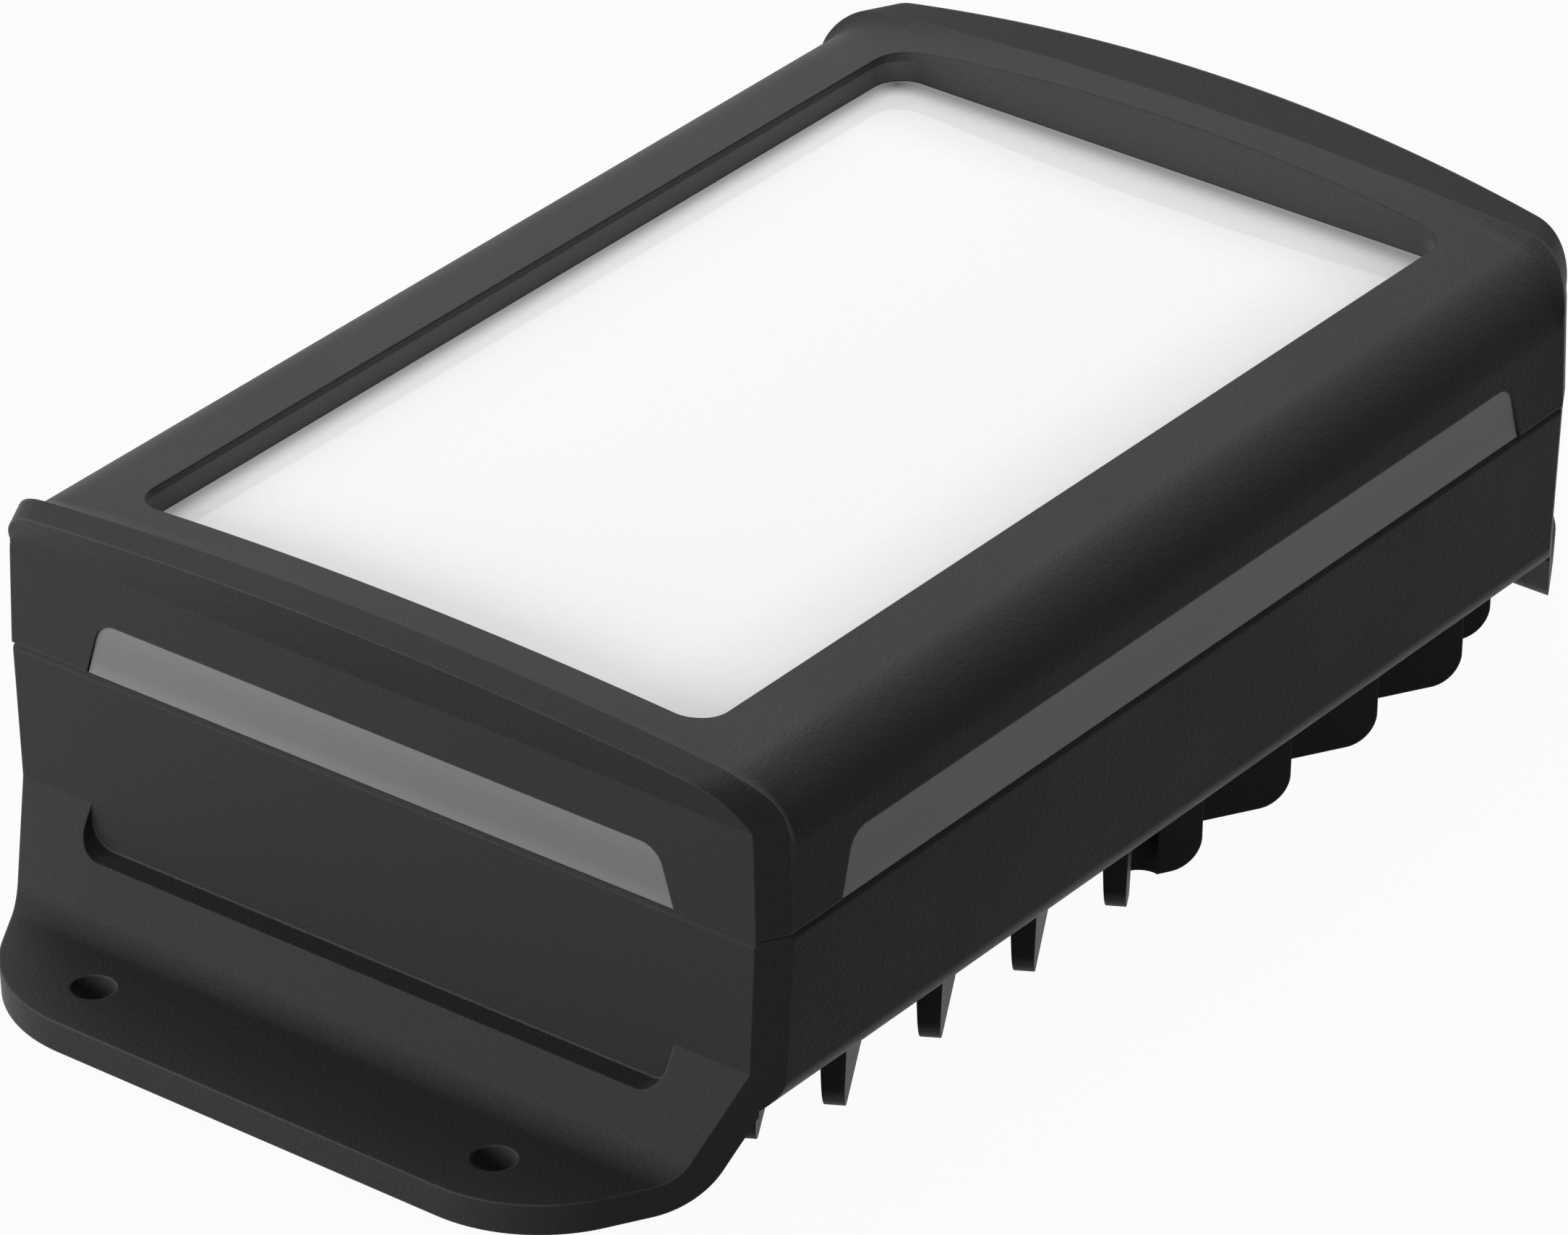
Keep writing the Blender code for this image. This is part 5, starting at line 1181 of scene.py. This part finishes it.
def cover_cavity():
    """The room inside the cover, with a level ceiling and rounded shoulders."""
    inner_half = HALF_WIDTH - COVER_WALL
    inner_radius = COVER_SHOULDER_RADIUS - COVER_WALL
    low = PARTING_HEIGHT - OVERRUN
    outline = [(-inner_half, low), (inner_half, low), (inner_half, CEILING), (-inner_half, CEILING)]
    outline = rounded(outline, (0, 0, inner_radius, inner_radius))
    inner_end = HALF_LENGTH - COVER_WALL
    return prism("room", [outline], -inner_end, inner_end, turn=ALONG_X)


def window_cutters():
    """The straight part of the window opening, and the leaning part above its rim line."""
    outline = rounded_rectangle(WINDOW_HALF_LENGTH, WINDOW_HALF_WIDTH, WINDOW_CORNER_RADIUS)
    high = PARTING_HEIGHT + LIP_HEIGHT + OVERRUN
    straight = prism("window", [outline], LENS_TOP - OVERRUN, high + OVERRUN)
    low = PARTING_HEIGHT + WINDOW_RIM_HEIGHT
    lean = (high - low) * WINDOW_LEAN
    upper = prism("window_lean", [outline], low, high)
    middle = (low + high) / 2
    for vertex in upper.data.vertices:
        if vertex.co.z > middle:
            vertex.co.x += math.copysign(lean, vertex.co.x)
            vertex.co.y += math.copysign(lean, vertex.co.y)
    return straight, upper


def strip_opening(half_length, height):
    """A light strip's opening: wide below, leaning in at its ends, round at its upper corners."""
    low = PARTING_HEIGHT - OVERRUN
    foot = half_length + GAP - (low - PARTING_HEIGHT) * STRIP_END_LEAN
    head = half_length + GAP - (height + GAP) * STRIP_END_LEAN
    top = PARTING_HEIGHT + height + GAP
    outline = [(-foot, low), (foot, low), (head, top), (-head, top)]
    return rounded(outline, (0, 0, STRIP_CORNER_RADIUS, STRIP_CORNER_RADIUS))


def between(face_near, face_far, side):
    """Puts two distances from the middle in rising order, on one side of it."""
    return sorted((side * face_near, side * face_far))


def cover_columns():
    """What stands in the cover's room: screw columns, clip bosses and a collar round the window."""
    low, high = PARTING_HEIGHT - 2 * OVERRUN, CEILING + OVERRUN
    columns = []
    for side in (-1, 1):
        for x in COLUMN_XS:
            columns.append(cylinder("column", COVER_COLUMN_RADIUS, low, high, (x, side * COLUMN_Y)))
        for x in CLIP_XS:
            columns.append(cylinder("boss", CLIP_BOSS_RADIUS, LENS_BOTTOM, high, (x, side * CLIP_Y)))
    half_x, half_y = WINDOW_HALF_LENGTH + COLLAR, WINDOW_HALF_WIDTH + COLLAR
    outline = rounded_rectangle(half_x, half_y, WINDOW_CORNER_RADIUS + COLLAR)
    columns.append(prism("collar", [outline], LENS_TOP + COLLAR_GAP, high))
    return columns


def make_cover():
    room = cut(cover_cavity(), *cover_columns())
    cover = cut(cover_skin(), room)
    cover = cut(cover, *window_cutters())
    cutters = []
    for _, half_length, height, wall, turn, side in STRIPS:
        low, high = between(wall - COVER_WALL - OVERRUN, wall + OVERRUN, side)
        cutters.append(prism("strip", [strip_opening(half_length, height)], low, high, turn))
    for side in (-1, 1):
        for x in COLUMN_XS:
            low, high = PARTING_HEIGHT - OVERRUN, PARTING_HEIGHT + (COVER_SCREW_GRIP + GAP)
            cutters.append(small_hole("bore", COVER_SCREW_RADIUS, low, high, (x, side * COLUMN_Y)))
        for x in CLIP_XS:
            low, high = LENS_BOTTOM - OVERRUN, CEILING
            cutters.append(small_hole("bore", SMALL_SCREW_RADIUS, low, high, (x, side * CLIP_Y)))
    cover = cut(cover, *cutters)
    dress(cover, "cover", COVER_SMOOTH_ANGLE)


def seat_strip(name):
    """A light strip let down on to the housing's rim and out to its opening, so that no dark slit shows."""
    mesh = NODES[name].data.copy()
    mesh.transform(NODES[name].matrix_world)
    corners = [vertex.co for vertex in mesh.vertices]
    spread = [[corner[axis] for corner in corners] for axis in (0, 1)]
    reach = [max(values) - min(values) for values in spread]
    axis = reach.index(max(reach))
    for corner in corners:
        corner[axis] += math.copysign(STRIP_FILL, corner[axis])
        if corner.z < PARTING_HEIGHT + 2 * GAP:
            corner.z -= STRIP_DROP
        elif corner.z > PARTING_HEIGHT + END_WINDOW_HEIGHT / 2:
            corner.z += STRIP_FILL
    dress(link(name, mesh), name, HOUSING_SMOOTH_ANGLE)


for name, node in NODES.items():
    node.data.materials.clear()
    node.data.materials.append(FINISH[SLOTS[name]])

make_housing()
make_cover()
for strip in STRIPS:
    seat_strip(strip[0])
